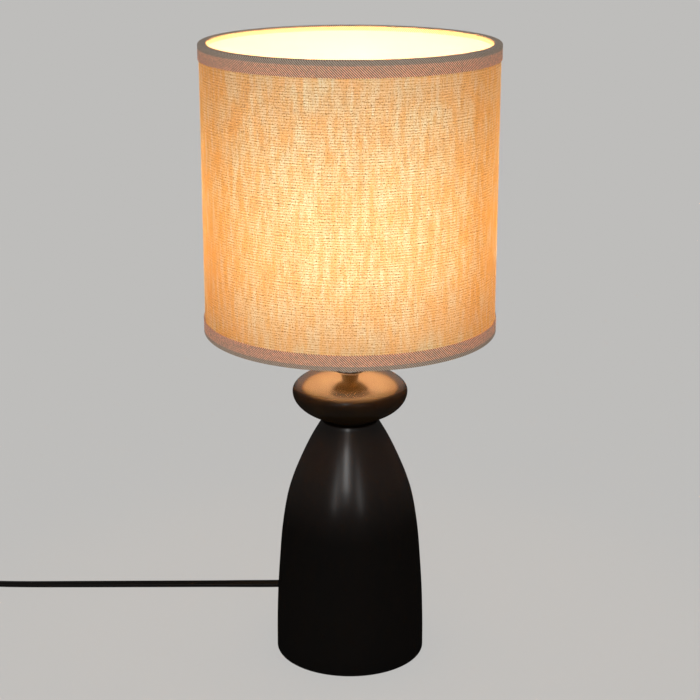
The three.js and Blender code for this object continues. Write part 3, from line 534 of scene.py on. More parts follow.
def body_section():
    tall = body_high.z - body_low.z
    side = [(body_high.x, body_low.z + BODY_EDGE)]
    side += [(body_high.x * out, body_low.z + tall * up) for up, out in BODY_SIDE]
    side += [(BODY_TOP_RADIUS, body_high.z - BODY_EDGE)]
    foot = arc(body_high.x - BODY_EDGE, body_low.z + BODY_EDGE, BODY_EDGE, -90, 0)
    top = arc(BODY_TOP_RADIUS - BODY_EDGE, body_high.z - BODY_EDGE, BODY_EDGE, 25, 90)
    felt_rim, felt_top = felt_high.x + GAP, felt_high.z + GAP
    return [(felt_rim, body_low.z), *foot[:-1], *[tuple(p) for p in smooth_line(side, 8)], *top[1:],
            (bore, body_high.z), (bore, hollow_top), (FOOT_HOLLOW_RADIUS, hollow_top),
            (FOOT_HOLLOW_RADIUS, felt_top), (felt_rim, felt_top)]


body = turn("body_turning", body_section(), 224)
cut(body, rod("wire_hole", (0, FOOT_HOLLOW_RADIUS / 2, gland_height),
              (0, body_high.x + BEYOND, gland_height), WIRE_HOLE_RADIUS))
print(f"body {body_high.z - body_low.z:.1f} mm tall, {len(body.data.polygons)} faces")

# %% [markdown]
# The ball is not a sphere. It is a shallow half ellipse over a deeper one, so it looks pressed down by
# the shade's weight. Its short foot sits on the body, and a flat on top takes the washer.

# %% Ball
BALL_RISE = 15.8
BALL_DROP = 21.3
BALL_FOOT_RADIUS = 17.5
BALL_FOOT_EASE = 0.75
BALL_TOP_RADIUS = 10.8

ball_low, ball_high = span("turned_ball")
ball_radius = ball_high.x


def ball_section():
    lowest = -math.degrees(math.acos(BALL_FOOT_RADIUS / ball_radius))
    highest = math.degrees(math.acos(BALL_TOP_RADIUS / ball_radius))
    middle = ball_high.z - BALL_RISE * math.sin(math.radians(highest))
    lower = [(ball_radius * x, middle + BALL_DROP * y) for x, y in arc(0, 0, 1, lowest, 0, 28)]
    upper = [(ball_radius * x, middle + BALL_RISE * y) for x, y in arc(0, 0, 1, 0, highest, 32)]
    return [(bore, ball_low.z), (BALL_FOOT_RADIUS - BALL_FOOT_EASE, ball_low.z), *lower[:-1], *upper,
            (bore, ball_high.z)]


ball = turn("ball_turning", ball_section(), 224)
print(f"ball {2 * ball_radius:.1f} mm wide, {ball_high.z - ball_low.z:.1f} mm tall")

# %% [markdown]
# Both are black and in two degrees of gloss: nearly matt at the foot, brighter at the shoulder and
# glossy on the ball's dome. Towards the shoulder and on the dome the black turns to a dark brown, which
# is painted warmth where the lamp's light falls, and faint random streaks of the brown run up both.
# How the real ones were finished isn't known. Matt lacquer under hard wax is a guess that gives this
# look. The lacquer doesn't mirror here at all: its specular level is zero. The coat layer plays the
# wax, its weight follows the height, and it fades at a glancing angle, because the object's edges stay
# black. Hard wax has an IOR near 1.5. On the ball it is 1.72, matched to how brightly the real one
# mirrors the shade. Under the wax are the orange peel of a spray, the faint rings of the gouge, and the
# pores of the wood, which run up the body. All three are only thousandths of a millimetre deep.


# %% Matt lacquer and wax on turned wood
def waxed_finish_with_painted_brown(name, black_and_painted_brown, heights, weights, thins_out, **sockets):
    """Black lacquer with wax. The wax's weight runs from the first to the second of the weights
    between two heights, and thins_out is the power at which it fades towards the edges. Between
    the same heights the colour turns from black to a brown that is painted warmth where the lamp's
    light falls, and faint random streaks of that brown run up the piece."""
    finish = new_finish(name, black_and_painted_brown[0], Roughness=0.5, Specular_IOR_Level=0.0, **sockets)
    feeds = {"Value": place_on(finish)["Z"], "From Min": heights[0] * MM, "From Max": heights[1] * MM}
    wax_and_painted_brown = add_node(finish, "MapRange", feeds, interpolation_type="SMOOTHSTEP")
    uneven = speckle(finish, 14, stretch=(1, 1, 5))
    # painted warmth: the colour turns brown towards the top, where the lamp's light falls, plus random
    # upright streaks
    two_tone(finish, sum_of(finish, 0, (wax_and_painted_brown, 0.8), (uneven, 0.35)), *black_and_painted_brown)
    by_height = add_node(finish, "MapRange", {"Value": wax_and_painted_brown, "To Min": weights[0], "To Max": weights[1]})
    glance = add_node(finish, "LayerWeight", {"Blend": 0.5}).outputs["Facing"]
    edge = add_node(finish, "Math", {0: glance, 1: thins_out}, operation="POWER")
    middle = add_node(finish, "Math", {0: 1.0, 1: edge}, operation="SUBTRACT")
    wax = add_node(finish, "Math", {0: by_height, 1: middle}, operation="MULTIPLY")
    feed(finish, "Coat Weight", wax)
    gouge_rings = speckle(finish, 2.2, stretch=(60, 60, 1))
    pores = speckle(finish, 0.9, stretch=(1, 1, 14))
    orange_peel = speckle(finish, 1.4)
    relief(finish, sum_of(finish, 0, (gouge_rings, 1), (pores, 1), (orange_peel, 1)), 0.006)
    return finish


# The first colour is black, the second a brown that is painted warmth where the lamp's light falls. It comes
# in between the two heights, together with the wax.
BODY_BLACK_AND_PAINTED_BROWN = ("#0f0f0f", "#19130f")
BODY_WAX_AND_BROWN_HEIGHTS = (95, 145)  # the heights between which the wax grows
BODY_WAX = (0.04, 0.34)
BALL_BLACK_AND_PAINTED_BROWN = ("#120f0d", "#362810")
BALL_WAX_AND_BROWN_HEIGHTS = (198.4, 204.4)
BALL_WAX = (0.05, 1.0)

body_finish = waxed_finish_with_painted_brown("lacquer_matt_waxed_painted_warm_top", BODY_BLACK_AND_PAINTED_BROWN, BODY_WAX_AND_BROWN_HEIGHTS, BODY_WAX, 0.8,
                           Coat_Roughness=0.27, Coat_IOR=1.5)
ball_finish = waxed_finish_with_painted_brown("lacquer_buffed_waxed_painted_warm_dome", BALL_BLACK_AND_PAINTED_BROWN, BALL_WAX_AND_BROWN_HEIGHTS, BALL_WAX, 3.5,
                           Coat_Roughness=0.22, Coat_IOR=1.72)
fit(body, body_finish, "black_lacquered_wood", "lamp", "turned_body")
fit(ball, ball_finish, "black_lacquered_wood", "lamp", "turned_ball")
print("wax weight on the body", BODY_WAX, "and on the ball", BALL_WAX)

# %% [markdown]
# ## The gland at the back
#
# A tapered PVC tail takes the strain off the flex where it leaves the foot. It is ringed with slots, so
# that it bends evenly. It is turned in mesh code along Z like the rest, then laid along +Y.

# %% Gland
TAIL_RINGS = 5
TAIL_SLOT_DEPTH = 0.7
TAIL_ROOT_RADIUS = 5.2
TAIL_END_RADIUS = 4.0
TAIL_MARGIN = 1.5  # plain part of the tail before the first slot and after the last
SLOT_SIDE = [(0.0, 0), (0.12, 1), (0.42, 1), (0.54, 0)]  # share of the pitch, and of the depth there
SHANK_RADIUS = 4.6
FLANGE = 2.0


def gland_section():
    face, tip, wide = body_high.x + GAP, gland_high.y, gland_high.x
    root = face + FLANGE
    outside = rounded([(flex_bore, FOOT_HOLLOW_RADIUS, 0), (SHANK_RADIUS, FOOT_HOLLOW_RADIUS, 0),
                       (SHANK_RADIUS, face, 0), (wide, face, 0.4), (wide, root, 0.8),
                       (TAIL_ROOT_RADIUS, root, 0.3)], 4)
    pitch = (tip - root - 2 * TAIL_MARGIN) / TAIL_RINGS
    for ring in range(TAIL_RINGS):
        for share, depth in SLOT_SIDE:
            at = root + TAIL_MARGIN + (ring + share) * pitch
            taper = (TAIL_END_RADIUS - TAIL_ROOT_RADIUS) * (at - root) / (tip - root)
            outside.append((TAIL_ROOT_RADIUS + taper - TAIL_SLOT_DEPTH * depth, at))
    end = rounded([(TAIL_END_RADIUS, tip - 2, 0), (TAIL_END_RADIUS, tip, 0.6), (flex_bore, tip, 0)], 4)
    return [*outside, *end[1:]]


gland = lay(turn("gland_tail", gland_section(), 64), -90, "X", (0, 0, gland_height))
fit(gland, black_pvc, "black_pvc", "lamp", "cord_gland")
print("gland reaches back to", round(gland_high.y, 1), "mm")

# %% [markdown]
# ## Washer, spacer and lampholder
#
# Above the ball the tube carries a zinc washer, a black spacer and the lampholder. The holder is the
# usual two-part moulding: a domed cap that screws on the tube, and a sleeve with an outside thread.
# The shade's carrier drops over the sleeve and rests on its shoulder, and a ribbed ring clamps it.
# A thread could be a helix cut with a boolean, which is slow and tears. Here the radius simply follows
# the angle and the height, as it does on the real part.

# %% Zinc plate and the stack under the shade
zinc = new_finish("zinc_plate_on_steel", "#c6c8ca", Metallic=1.0, Roughness=0.30)
two_tone(zinc, speckle(zinc, 5), "#b4b6ba", "#d2d3d0")
vary(zinc, "Roughness", speckle(zinc, 3, stretch=(6, 1, 1)), 0.24, 0.40)

washer = collar("washer_stamping", "top_washer", bore, (0, 0.25, 0.4, 0))
fit(washer, zinc, "zinc_steel", "lamp", "top_washer")
spacer = collar("spacer_moulding", "spacer_tube", bore, (0, 0.5, 0.5, 0))
fit(spacer, black_plastic, "black_plastic", "lamp", "spacer_tube")
print("washer", len(washer.data.polygons), "faces, spacer", len(spacer.data.polygons))


# %% Screw threads
def thread(pitch, depth, crest, start, end):
    """A wobble for turn(): cuts a screw thread into the surface at the crest radius."""
    def groove(angle, radius, height):
        if abs(radius - crest) > 0.01 or not start < height < end:
            return radius
        fade = min(1, (height - start) / pitch, (end - height) / pitch)
        return radius - depth * fade * (0.5 - 0.5 * math.cos(2 * math.pi * height / pitch - angle))
    return groove


def wall(radius, start, end, step):
    """Points up a straight wall, close enough together to carry a thread."""
    count = math.ceil((end - start) / step)
    return [(radius, start + (end - start) * i / count) for i in range(count + 1)]


print("a wall of 10 mm at 0.5 mm has", len(wall(1, 0, 10, 0.5)), "points")

# %% Lampholder cap and threaded sleeve
HOLDER_WALL = 2.2
HOLDER_CHAMFER = 0.6
CAP_EASE = 0.5
CAP_BOSS_RADIUS = 7.6
CAP_BOSS_HEIGHT = 11.5
SHOULDER_RISE = 8.2
SHOULDER = 2.2
SHOULDER_EASE = 0.4
HOLDER_THREAD_PITCH = 2.8
HOLDER_THREAD_DEPTH = 0.55

cap_low, cap_high = span("holder_cap")
sleeve_low, sleeve_high = span("holder_sleeve")
holder_radius, holder_bore = cap_high.x, cap_high.x - HOLDER_WALL
shoulder_low = sleeve_low.z + SHOULDER_RISE
shoulder_top = shoulder_low + SHOULDER


def cap_section():
    start, top, ease = cap_low.z + CAP_BOSS_HEIGHT, cap_high.z, CAP_EASE
    bowl = []
    for t in [i / 16 for i in range(17)]:
        bowl.append((CAP_BOSS_RADIUS * (1 - t) ** 2 + holder_radius * (2 * t * (1 - t) + t * t),
                     start * (1 - t * t) + top * t * t))
    return [(bore, cap_low.z), *arc(CAP_BOSS_RADIUS - ease, cap_low.z + ease, ease, -90, 0, 3), *bowl,
            (holder_bore, top), (holder_bore - HOLDER_WALL, (tube_high.z + top) / 2),
            (CAP_BOSS_RADIUS, tube_high.z), (bore, tube_high.z)]


def sleeve_section():
    wide, top, ease = sleeve_high.x - SHOULDER_EASE, sleeve_high.z, SHOULDER_EASE
    return [(holder_bore, sleeve_low.z), (holder_radius, sleeve_low.z),
            (holder_radius, shoulder_low), *arc(wide, shoulder_low + ease, ease, -90, 0, 3),
            *arc(wide, shoulder_top - ease, ease, 0, 90, 3),
            *wall(holder_radius, shoulder_top, top - HOLDER_CHAMFER, HOLDER_THREAD_PITCH / 8),
            (holder_radius - HOLDER_CHAMFER, top), (holder_bore, top)]


holder_cap = turn("holder_cap_moulding", cap_section(), 112)
holder_sleeve = turn("holder_sleeve_moulding", sleeve_section(), 112, thread(
    HOLDER_THREAD_PITCH, HOLDER_THREAD_DEPTH, holder_radius, shoulder_top + 0.5, sleeve_high.z - 0.5))
fit(holder_cap, black_plastic, "black_plastic", "lamp", "holder_cap")
fit(holder_sleeve, black_plastic, "black_plastic", "lamp", "holder_sleeve")
print(f"lampholder {2 * holder_radius:.0f} mm, thread pitch {HOLDER_THREAD_PITCH} mm")

# %% [markdown]
# The clamping ring has a flange below and a ribbed grip above it. The ribs belong to the grip alone,
# so the wobble takes the radius and the height into account.

# %% Clamping ring
GRIP_RIBS = 30
GRIP_DEPTH = 0.8
GRIP_INSET = 2.0
GRIP_DRAFT = 0.6
CLAMP_FLANGE = 3.0
CLAMP_ROOM = 0.4  # between the ring and the sleeve's thread

ring_low, ring_high = span("shade_ring")


def ribs(angle, radius, height):
    """Lets the grip's side go in and out round the ring."""
    if radius < ring_high.x - 2 * GRIP_INSET or height < ring_low.z + CLAMP_FLANGE + 0.2:
        return radius
    return radius - GRIP_DEPTH * (0.5 - 0.5 * math.cos(GRIP_RIBS * angle)) ** 2


def clamp_section():
    inner, outer, grip = holder_radius + CLAMP_ROOM, ring_high.x, ring_high.x - GRIP_INSET
    low, flange_top, top = ring_low.z, ring_low.z + CLAMP_FLANGE, ring_high.z
    return rounded([(inner, low, 0), (outer, low, 0.6), (outer, flange_top, 0.6),
                    (grip, flange_top + 0.4, 0.4), (grip - GRIP_DRAFT, top, 0.8), (inner, top, 0.5)], 4)


clamp_ring = turn("clamp_ring_moulding", clamp_section(), 240, ribs)
fit(clamp_ring, black_plastic, "black_plastic", "shade_ring", "shade_ring")
print("clamping ring with", GRIP_RIBS, "ribs")

# %% [markdown]
# ## The bulb
#
# It is an opal lamp of the common pear shape: a frosted globe over a white housing on a screw cap. A
# light object inside a glass could light the shade, but the light would then not be where the eye sees
# it. So the globe itself gives the light, and the upper part of the housing gives some too.

# %% Globe
GLOBE_OPENING = 23.5
GLOBE_WALL = 1.5

globe_low, globe_high = span("bulb_globe")
globe_radius = globe_high.x
globe_middle = globe_high.z - globe_radius
globe_drop = globe_middle - globe_low.z


def globe_section():
    """The globe's wall, outside and inside, which touches the axis at its top."""
    bowls = []
    for radius in (globe_radius, globe_radius - GLOBE_WALL):
        lowest = -math.degrees(math.asin(globe_drop / radius))
        side = arc(0, globe_middle, radius, lowest, 90, 40)[:-1]
        bowls.append([*side, (0, globe_middle + radius)])
    return [*bowls[0], *reversed(bowls[1])]


def welded(piece):
    """Joins points that lie on each other, as all of a ring's do where it is on the axis."""
    work = bmesh.new()
    work.from_mesh(piece.data)
    bmesh.ops.remove_doubles(work, verts=work.verts, dist=1e-7)
    bmesh.ops.recalc_face_normals(work, faces=work.faces)
    work.to_mesh(piece.data)
    work.free()
    return piece


globe = welded(turn("globe_blown", globe_section(), 96))
print(f"globe {2 * globe_radius:.0f} mm at {globe_middle:.0f} mm")

# %% Housing and screw cap
HOUSING_STRAIGHT = 4.0
HOUSING_EASE = 0.6
HOUSING_STEP = 0.5  # how much wider than the screw cap it starts
SCREW_WALL = 1.5
SCREW_CHAMFER = (0.9, 1.2)
BULB_THREAD_PITCH = 3.63
BULB_THREAD_DEPTH = 0.7
BULB_THREAD_ENDS = (0.8, 2.5)  # plain part below the thread and above it

neck_low, neck_high = span("bulb_neck")
screw_low, screw_high = span("bulb_cap")


def housing_section():
    """The side is one Bezier curve that leaves the cap upright and meets the globe smoothly."""
    low, top = neck_low.z, neck_high.z
    reach = (top - low) / 3
    a = Vector((screw_high.x + HOUSING_STEP, low + HOUSING_STRAIGHT))
    b = a + Vector((0, reach))
    d = Vector((GLOBE_OPENING, top))
    c = d - reach * Vector((globe_drop, GLOBE_OPENING)) / globe_radius
    side = []
    for t in [i / 24 for i in range(25)]:
        point = a * (1 - t) ** 3 + 3 * b * t * (1 - t) ** 2 + 3 * c * t * t * (1 - t) + d * t**3
        side.append(tuple(point))
    return [(0, low), (a.x - HOUSING_EASE, low), (a.x, low + HOUSING_EASE), *side, (0, top)]


def screw_section():
    radius, low, top = screw_high.x, screw_low.z, screw_high.z
    return [(radius - SCREW_WALL, low), (radius - SCREW_CHAMFER[0], low),
            *wall(radius, low + SCREW_CHAMFER[1], top, BULB_THREAD_PITCH / 10), (radius - SCREW_WALL, top)]


housing = turn("bulb_housing", housing_section(), 96)
screw_cap = turn("bulb_screw_cap", screw_section(), 96, thread(
    BULB_THREAD_PITCH, BULB_THREAD_DEPTH, screw_high.x, screw_low.z + BULB_THREAD_ENDS[0],
    screw_high.z - BULB_THREAD_ENDS[1]))
print(f"housing {neck_high.z - neck_low.z:.0f} mm tall, screw pitch {BULB_THREAD_PITCH} mm")

# %% [markdown]
# The light's colours and strengths are matched to the object and aren't those of a real bulb. A real
# globe glows nearly evenly, and its housing is nearly dark. This globe glows more, and warmer, towards
# its two ends, and the housing glows most at its upper end. That lights the cloth evenly over most of
# its height and makes it more orange near its edges, as the object's cloth is.

# %% Opal glass, white housing and nickel
GLOW_MIDDLE = (1.0, 0.70, 0.28, 1.0)
GLOW_END = (1.0, 0.50, 0.145, 1.0)
GLOW_STRENGTH = 44.5
GLOW_ENDS = 6.0  # how much more the globe glows at its ends than round its middle
GLOW_LEAST = 0.2  # how far above its middle the globe glows least, as a share of its radius
WARM_FROM = 0.5  # squared share of the radius at which the glow is as warm as at the ends
HOUSING_GLOW = 3.6  # the housing's upper end, as a multiple of the globe's middle
HOUSING_DARK = 5  # how far up the housing its glow starts

opal_glass = new_finish("opal_glass_lit", "#f4efe6", Roughness=0.35, IOR=1.5)
from_least = add_node(opal_glass, "MapRange", {
    "Value": place_on(opal_glass)["Z"],
    "From Min": (globe_middle - globe_radius) * MM, "From Max": (globe_middle + globe_radius) * MM,
    "To Min": -1.0 - GLOW_LEAST, "To Max": 1.0 - GLOW_LEAST})
squared = add_node(opal_glass, "Math", {0: from_least, 1: from_least}, operation="MULTIPLY")
glow = sum_of(opal_glass, GLOW_STRENGTH, (squared, GLOW_STRENGTH * GLOW_ENDS))
feed(opal_glass, "Emission Strength", glow)
end_share = add_node(opal_glass, "MapRange", {"Value": squared, "From Max": WARM_FROM})
glow_colour = add_node(opal_glass, "Mix", {0: end_share, 6: GLOW_MIDDLE, 7: GLOW_END}, data_type="RGBA")
feed(opal_glass, "Emission Color", glow_colour.outputs[2])

white_plastic = new_finish("polycarbonate_moulded_white", "#e9e7e1", Roughness=0.38, IOR=1.58)
relief(white_plastic, speckle(white_plastic, 1.2), 0.01)
feed(white_plastic, "Emission Color", GLOW_END)
feed(white_plastic, "Emission Strength", add_node(white_plastic, "MapRange", {
    "Value": place_on(white_plastic)["Z"],
    "From Min": (neck_low.z + HOUSING_DARK) * MM, "From Max": neck_high.z * MM,
    "To Min": 0.0, "To Max": GLOW_STRENGTH * HOUSING_GLOW}))

for lit in (opal_glass, white_plastic):
    lit.cycles.emission_sampling = "FRONT"
globe.visible_glossy = False  # the dome would mirror it as one glaring dot

nickel = new_finish("nickel_plate_on_brass", "#cfc9be", Metallic=1.0, Roughness=0.25)
vary(nickel, "Roughness", speckle(nickel, 2.5), 0.18, 0.34)

fit(globe, opal_glass, "opal_glass", "bulb", "bulb_globe")
fit(housing, white_plastic, "white_plastic", "bulb", "bulb_neck")
fit(screw_cap, nickel, "zinc_steel", "bulb", "bulb_cap")
print("glow strength", GLOW_STRENGTH, "round the middle")

# %% [markdown]
# ## The shade
#
# The drum is a laminate: linen outside, a white film inside, rolled into a tube and lapped at the back.
# Cloth on film has one thickness, so one shell stands for both, with a material for each side. A real
# warp yarn stands proud of its neighbours, and at a grazing angle it hides the bright gap beside it.
# That is why a lit linen shade darkens towards its sides. A painted darkening would slide with the
# camera, so the upright yarns are real relief here: 0.16 mm high, at a pitch of 0.36 mm, both matched
# to the object.

# %% Laminate shell
YARN_PITCH = 0.36
YARN_WIDTH = 0.18
YARN_HEIGHT = 0.16
YARN_FACETS = 8
FILM_THICKNESS = 0.4

cloth_low, cloth_high = span("shade_cloth")
cloth_radius = cloth_high.x
film_radius = span("shade_liner")[1].x - FILM_THICKNESS
yarns_round = 4 * round(2 * math.pi * cloth_radius / YARN_PITCH / 4)


def yarn_relief(angle, radius, height):
    """Round warp yarns on the outer face, with flat gaps between them."""
    if radius < cloth_radius - 0.01:
        return radius
    turns = yarns_round * angle / (2 * math.pi)
    beside = abs(turns - round(turns)) * YARN_PITCH / (YARN_WIDTH / 2)
    return radius - YARN_HEIGHT * (1 - math.sqrt(max(0.0, 1 - beside ** 2)))


laminate = turn("shade_laminate", [(cloth_radius, cloth_low.z), (cloth_radius, cloth_high.z),
                                   (film_radius, cloth_high.z), (film_radius, cloth_low.z)],
                yarns_round * YARN_FACETS, yarn_relief)
print(f"shade {2 * cloth_radius:.1f} mm, {yarns_round} warp yarns, {len(laminate.data.polygons)} faces")

# %% [markdown]
# Linen is spun from uneven flax. The yarns swell into slubs, and the light that comes through the cloth
# shows every change in its thickness: thin places and the gaps between yarns glow, and slubs are dark.
# So the weave drives how much light passes, and only a little of the surface colour. A coordinate that
# runs round the shade and up it, in metres, keeps the yarns straight and unbroken round the drum.


# %% Where a point lies on the cloth
def cloth_place(finish, radius):
    """A vector output: metres round the shade from its front, metres up, and zero."""
    parts = place_on(finish)
    back = add_node(finish, "Math", {0: parts["Y"], 1: -1.0}, operation="MULTIPLY")
    angle = add_node(finish, "Math", {0: parts["X"], 1: back}, operation="ARCTAN2")
    around = add_node(finish, "Math", {0: angle, 1: radius * MM}, operation="MULTIPLY")
    return add_node(finish, "CombineXYZ", {0: around, 1: parts["Z"], 2: 0.0}).outputs[0]


def wave(finish, value, pitch):
    """A cosine between -1 and 1 that repeats every so many millimetres of the value."""
    turned = add_node(finish, "Math", {0: value, 1: 2 * math.pi / (pitch * MM)}, operation="MULTIPLY")
    return add_node(finish, "Math", {0: turned}, operation="COSINE")


def patches(finish, place, size, stretch, low=0.36, high=0.64):
    """Noise with more contrast, from -1 where the cloth is dense to 1 where it is thin. stretch
    lengthens it round and up the shade."""
    noise = speckle(finish, size, (*stretch, 1), 2.0, place)
    feeds = {"Value": noise, "From Min": low, "From Max": high, "To Min": -1.0, "To Max": 1.0}
    return add_node(finish, "MapRange", feeds)


def cloth_finish(name, radius, seen, passed, share, pattern):
    """Cloth as a mix of what it throws back and what it lets through. The pattern gives two
    outputs: how thin a place is, 0 for dense and 1 for average, which tints the light, and how
    much its threads shade it, which dims the light. passed are the colours let through by the
    densest place and by an average one."""
    finish = new_finish(name, seen[0], Roughness=0.85, IOR=1.45, Sheen_Weight=0.1)
    thin, shade = pattern(finish, cloth_place(finish, radius))
    thin = add_node(finish, "Math", {0: thin, 1: 0.0}, operation="MAXIMUM")
    tinted = add_node(finish, "Mix", {0: thin, 6: passed[0], 7: passed[1]}, data_type="RGBA",
                      clamp_factor=False)
    dimmed = add_node(finish, "VectorMath", {0: tinted.outputs[2], "Scale": shade}, operation="SCALE")
    mix_in(finish, share, add_node(finish, "BsdfTranslucent", {"Color": dimmed}))
    two_tone(finish, shade, seen[1], seen[0])
    relief(finish, shade, 0.1, strength=0.5, invert=True)
    return finish


print(f"the weave's coordinate runs {2 * math.pi * cloth_radius:.0f} mm round the drum")

# %% [markdown]
# The linen's light is a sum of its causes. The warp's gaps are the finest and brightest. The weft lies
# in level lines that sway a little and come and go. Short dots are the places where both yarns are thin,
# and long upright patches are the slubs of the warp.

# %% Linen that lets light through
WEFT_PITCH = 1.7  # of the level lines that show, matched to the object
WEFT_SWAY = 0.0022
LINEN_SEEN = ("#ccb891", "#a28e6c")
LINEN_DENSE = (0.38, 0.23, 0.05, 1.0)
LINEN_THIN = (0.37, 0.348, 0.325, 1.0)
LINEN_PASS_SHARE = 0.4


def linen_pattern(finish, place):
    """Light through the linen: bright gaps between the warp yarns, dark weft lines, slubs."""
    parts = add_node(finish, "SeparateXYZ", {0: place}).outputs
    yarn = wave(finish, parts["X"], 2 * math.pi * cloth_radius / yarns_round)
    gap = add_node(finish, "MapRange", {"Value": yarn, "From Min": 0.25, "From Max": -0.25,
                                        "To Min": -1.0, "To Max": 1.0})
    sway = speckle(finish, 7, (8, 1, 1), 1.0, place)
    weft = wave(finish, sum_of(finish, 0, (sway, WEFT_SWAY), (parts["Y"], 1.0)), WEFT_PITCH)
    strength = speckle(finish, 7, (1.5, 1, 1), 2.0, place)
    weft = add_node(finish, "Math", {0: weft, 1: strength}, operation="MULTIPLY")
    dots = patches(finish, place, 0.9, (1, 1), 0.29, 0.5)
    thin = sum_of(finish, 0.8, (gap, 0.8), (weft, 0.35), (dots, 0.45),
                  (patches(finish, place, 4.0, (1, 6)), 0.6),
                  (patches(finish, place, 1.6, (1, 6)), 0.3),
                  (patches(finish, place, 16, (1, 2)), 0.2))
    shade = sum_of(finish, 0.77, (weft, 0.65), (dots, 0.7),
                   (patches(finish, place, WEFT_PITCH * 0.8, (4, 0.8), 0.3, 0.54), 0.25))
    return thin, shade


linen = cloth_finish("linen_woven_laminated", cloth_radius, LINEN_SEEN, (LINEN_DENSE, LINEN_THIN),
                     LINEN_PASS_SHARE, linen_pattern)
print("cloth lets through", [round(part * LINEN_PASS_SHARE, 3) for part in LINEN_THIN[:3]])

# %% [markdown]
# The film is thin white PVC. Some of the light goes straight on to the cloth, and the greater part is
# scattered back into the drum, which is what makes the inside look white and evenly lit. Its white is
# tinted slightly violet, matched to the object, because the inside came out too yellow without it.

# %% White film
FILM_CLEAR_SHARE = 0.42

film = new_finish("pvc_film_white", "#ece2f1", Roughness=0.5, IOR=1.5)
vary(film, "Roughness", speckle(film, 8), 0.45, 0.6)
mix_in(film, FILM_CLEAR_SHARE, add_node(film, "BsdfTransparent", {"Color": (1, 1, 1, 1)}))

fit(laminate, linen, "linen_cloth", "shade", "shade_cloth", "shade_liner")
laminate.data.materials.append(film)
middle_radius = (cloth_radius + film_radius) / 2 * MM
for face in laminate.data.polygons:
    face.material_index = 0 if face.center.xy.length > middle_radius else 1
print("the film is clear to", FILM_CLEAR_SHARE, "of the light")

# %% [markdown]
# The lap runs up the back, away from the eye. Cloth and film overlap there by 10 mm and are glued, and
# the double layer reads as a slightly different strip when the lamp is on. It is its own thin piece
# just outside the drum, bent round it in mesh code.

# %% Back lap
LAP_WIDTH = 10
LAP_THICKNESS = 0.25
LAP_OFF_CLOTH = 0.02
LAP_OFF_BANDS = 0.2
LAP_DENSE = (0.8, 0.66, 0.5, 1.0)
LAP_THIN = (1.0, 0.94, 0.85, 1.0)
LAP_PASS_SHARE = 0.54

upper_low, upper_high = span("upper_band")
lower_low, lower_high = span("lower_band")


def lap_rings():
    """The strip's outline seen from above, at its foot, its middle and its top."""
    inner = cloth_radius + LAP_OFF_CLOTH
    half = math.degrees(LAP_WIDTH / cloth_radius / 2)
    outline = arc(0, 0, inner + LAP_THICKNESS, 90 - half, 90 + half, 8)
    outline += arc(0, 0, inner, 90 + half, 90 - half, 8)
    low, high = lower_high.z + LAP_OFF_BANDS, upper_low.z - LAP_OFF_BANDS
    return [[(x, y, height) for x, y in outline] for height in (low, (low + high) / 2, high)]


lap = loft("shade_lap", lap_rings())
lap_linen = cloth_finish("linen_double_layer", cloth_radius, LINEN_SEEN, (LAP_DENSE, LAP_THIN),
                         LAP_PASS_SHARE, linen_pattern)
fit(lap, lap_linen, "linen_cloth", "shade")
print(f"lap {LAP_WIDTH} mm wide")

# %% [markdown]
# ## Bindings
#
# A bias strip of plainer cloth is folded over each edge, round the wire ring, and glued down inside and
# out. Where the wire lies behind the strip, its shadow is painted into the light that the strip lets
# through, so the last 3 mm look grey beside the glowing band. A bias strip is cut at 45 degrees, and its
# yarns show as fine slanting lines. It could be a sheet that is bent by a modifier, but its fold is the
# same all round, so it is turned.

# %% Folded strip
EDGE_FOLD = 1.4
BAND_THICKNESS = 0.5
BAND_INNER_DROP = 1.1  # how far the inner end reaches past the wire

wire_low, wire_high = span("upper_wire_ring")
wire_size = wire_high.z - wire_low.z
band_outer = upper_high.x
band_inner = wire_high.x - wire_size - GAP - BAND_THICKNESS


def strip_section(edge, direction, width):
    """The folded strip's closed section. direction is 1 at the upper edge and -1 at the lower one."""
    inner_end = edge - direction * (wire_size + BAND_INNER_DROP)
    outer_end = edge - direction * width
    under = edge - direction * BAND_THICKNESS
    inside_out, outside_in = band_inner + BAND_THICKNESS, band_outer - BAND_THICKNESS
    return rounded([
        (outside_in, outer_end, 0), (band_outer, outer_end, 0.2),
        (band_outer, edge, EDGE_FOLD), (band_inner, edge, EDGE_FOLD), (band_inner, inner_end, 0.2),
        (inside_out, inner_end, 0), (inside_out, under, EDGE_FOLD - BAND_THICKNESS),
        (outside_in, under, EDGE_FOLD - BAND_THICKNESS)], 5)


print(f"strip folded round a wire of {wire_size:.1f} mm")

# %% Bias-cut cloth on both edges
BIAS_PITCH = 1.15  # of the slanting lines that show, matched to the object
# The wire's shadow on the strip is painted into the light that passes: none passes from the edge to the far
# side of the wire.
PAINTED_SHADOW_REACH = 3.3  # from the edge to the far side of the wire
PAINTED_SHADOW_FADE = 0.4  # on either side of it the wire's shadow fades
BAND_SEEN = ("#ffe8d2", "#8f745e")
BAND_THIN = (1.0, 0.46, 0.18, 1.0)
# black: what passes at the densest places and in the painted shadow of the wire
BAND_DENSE_AND_PAINTED_SHADOW = (0.0, 0.0, 0.0, 1.0)
BAND_PASS_SHARE = 0.32
BACK_PASS_SHARE = 0.95  # of the strip's face that is glued to the cloth
BACK_PASSED = (0.9, 0.85, 0.8, 1.0)


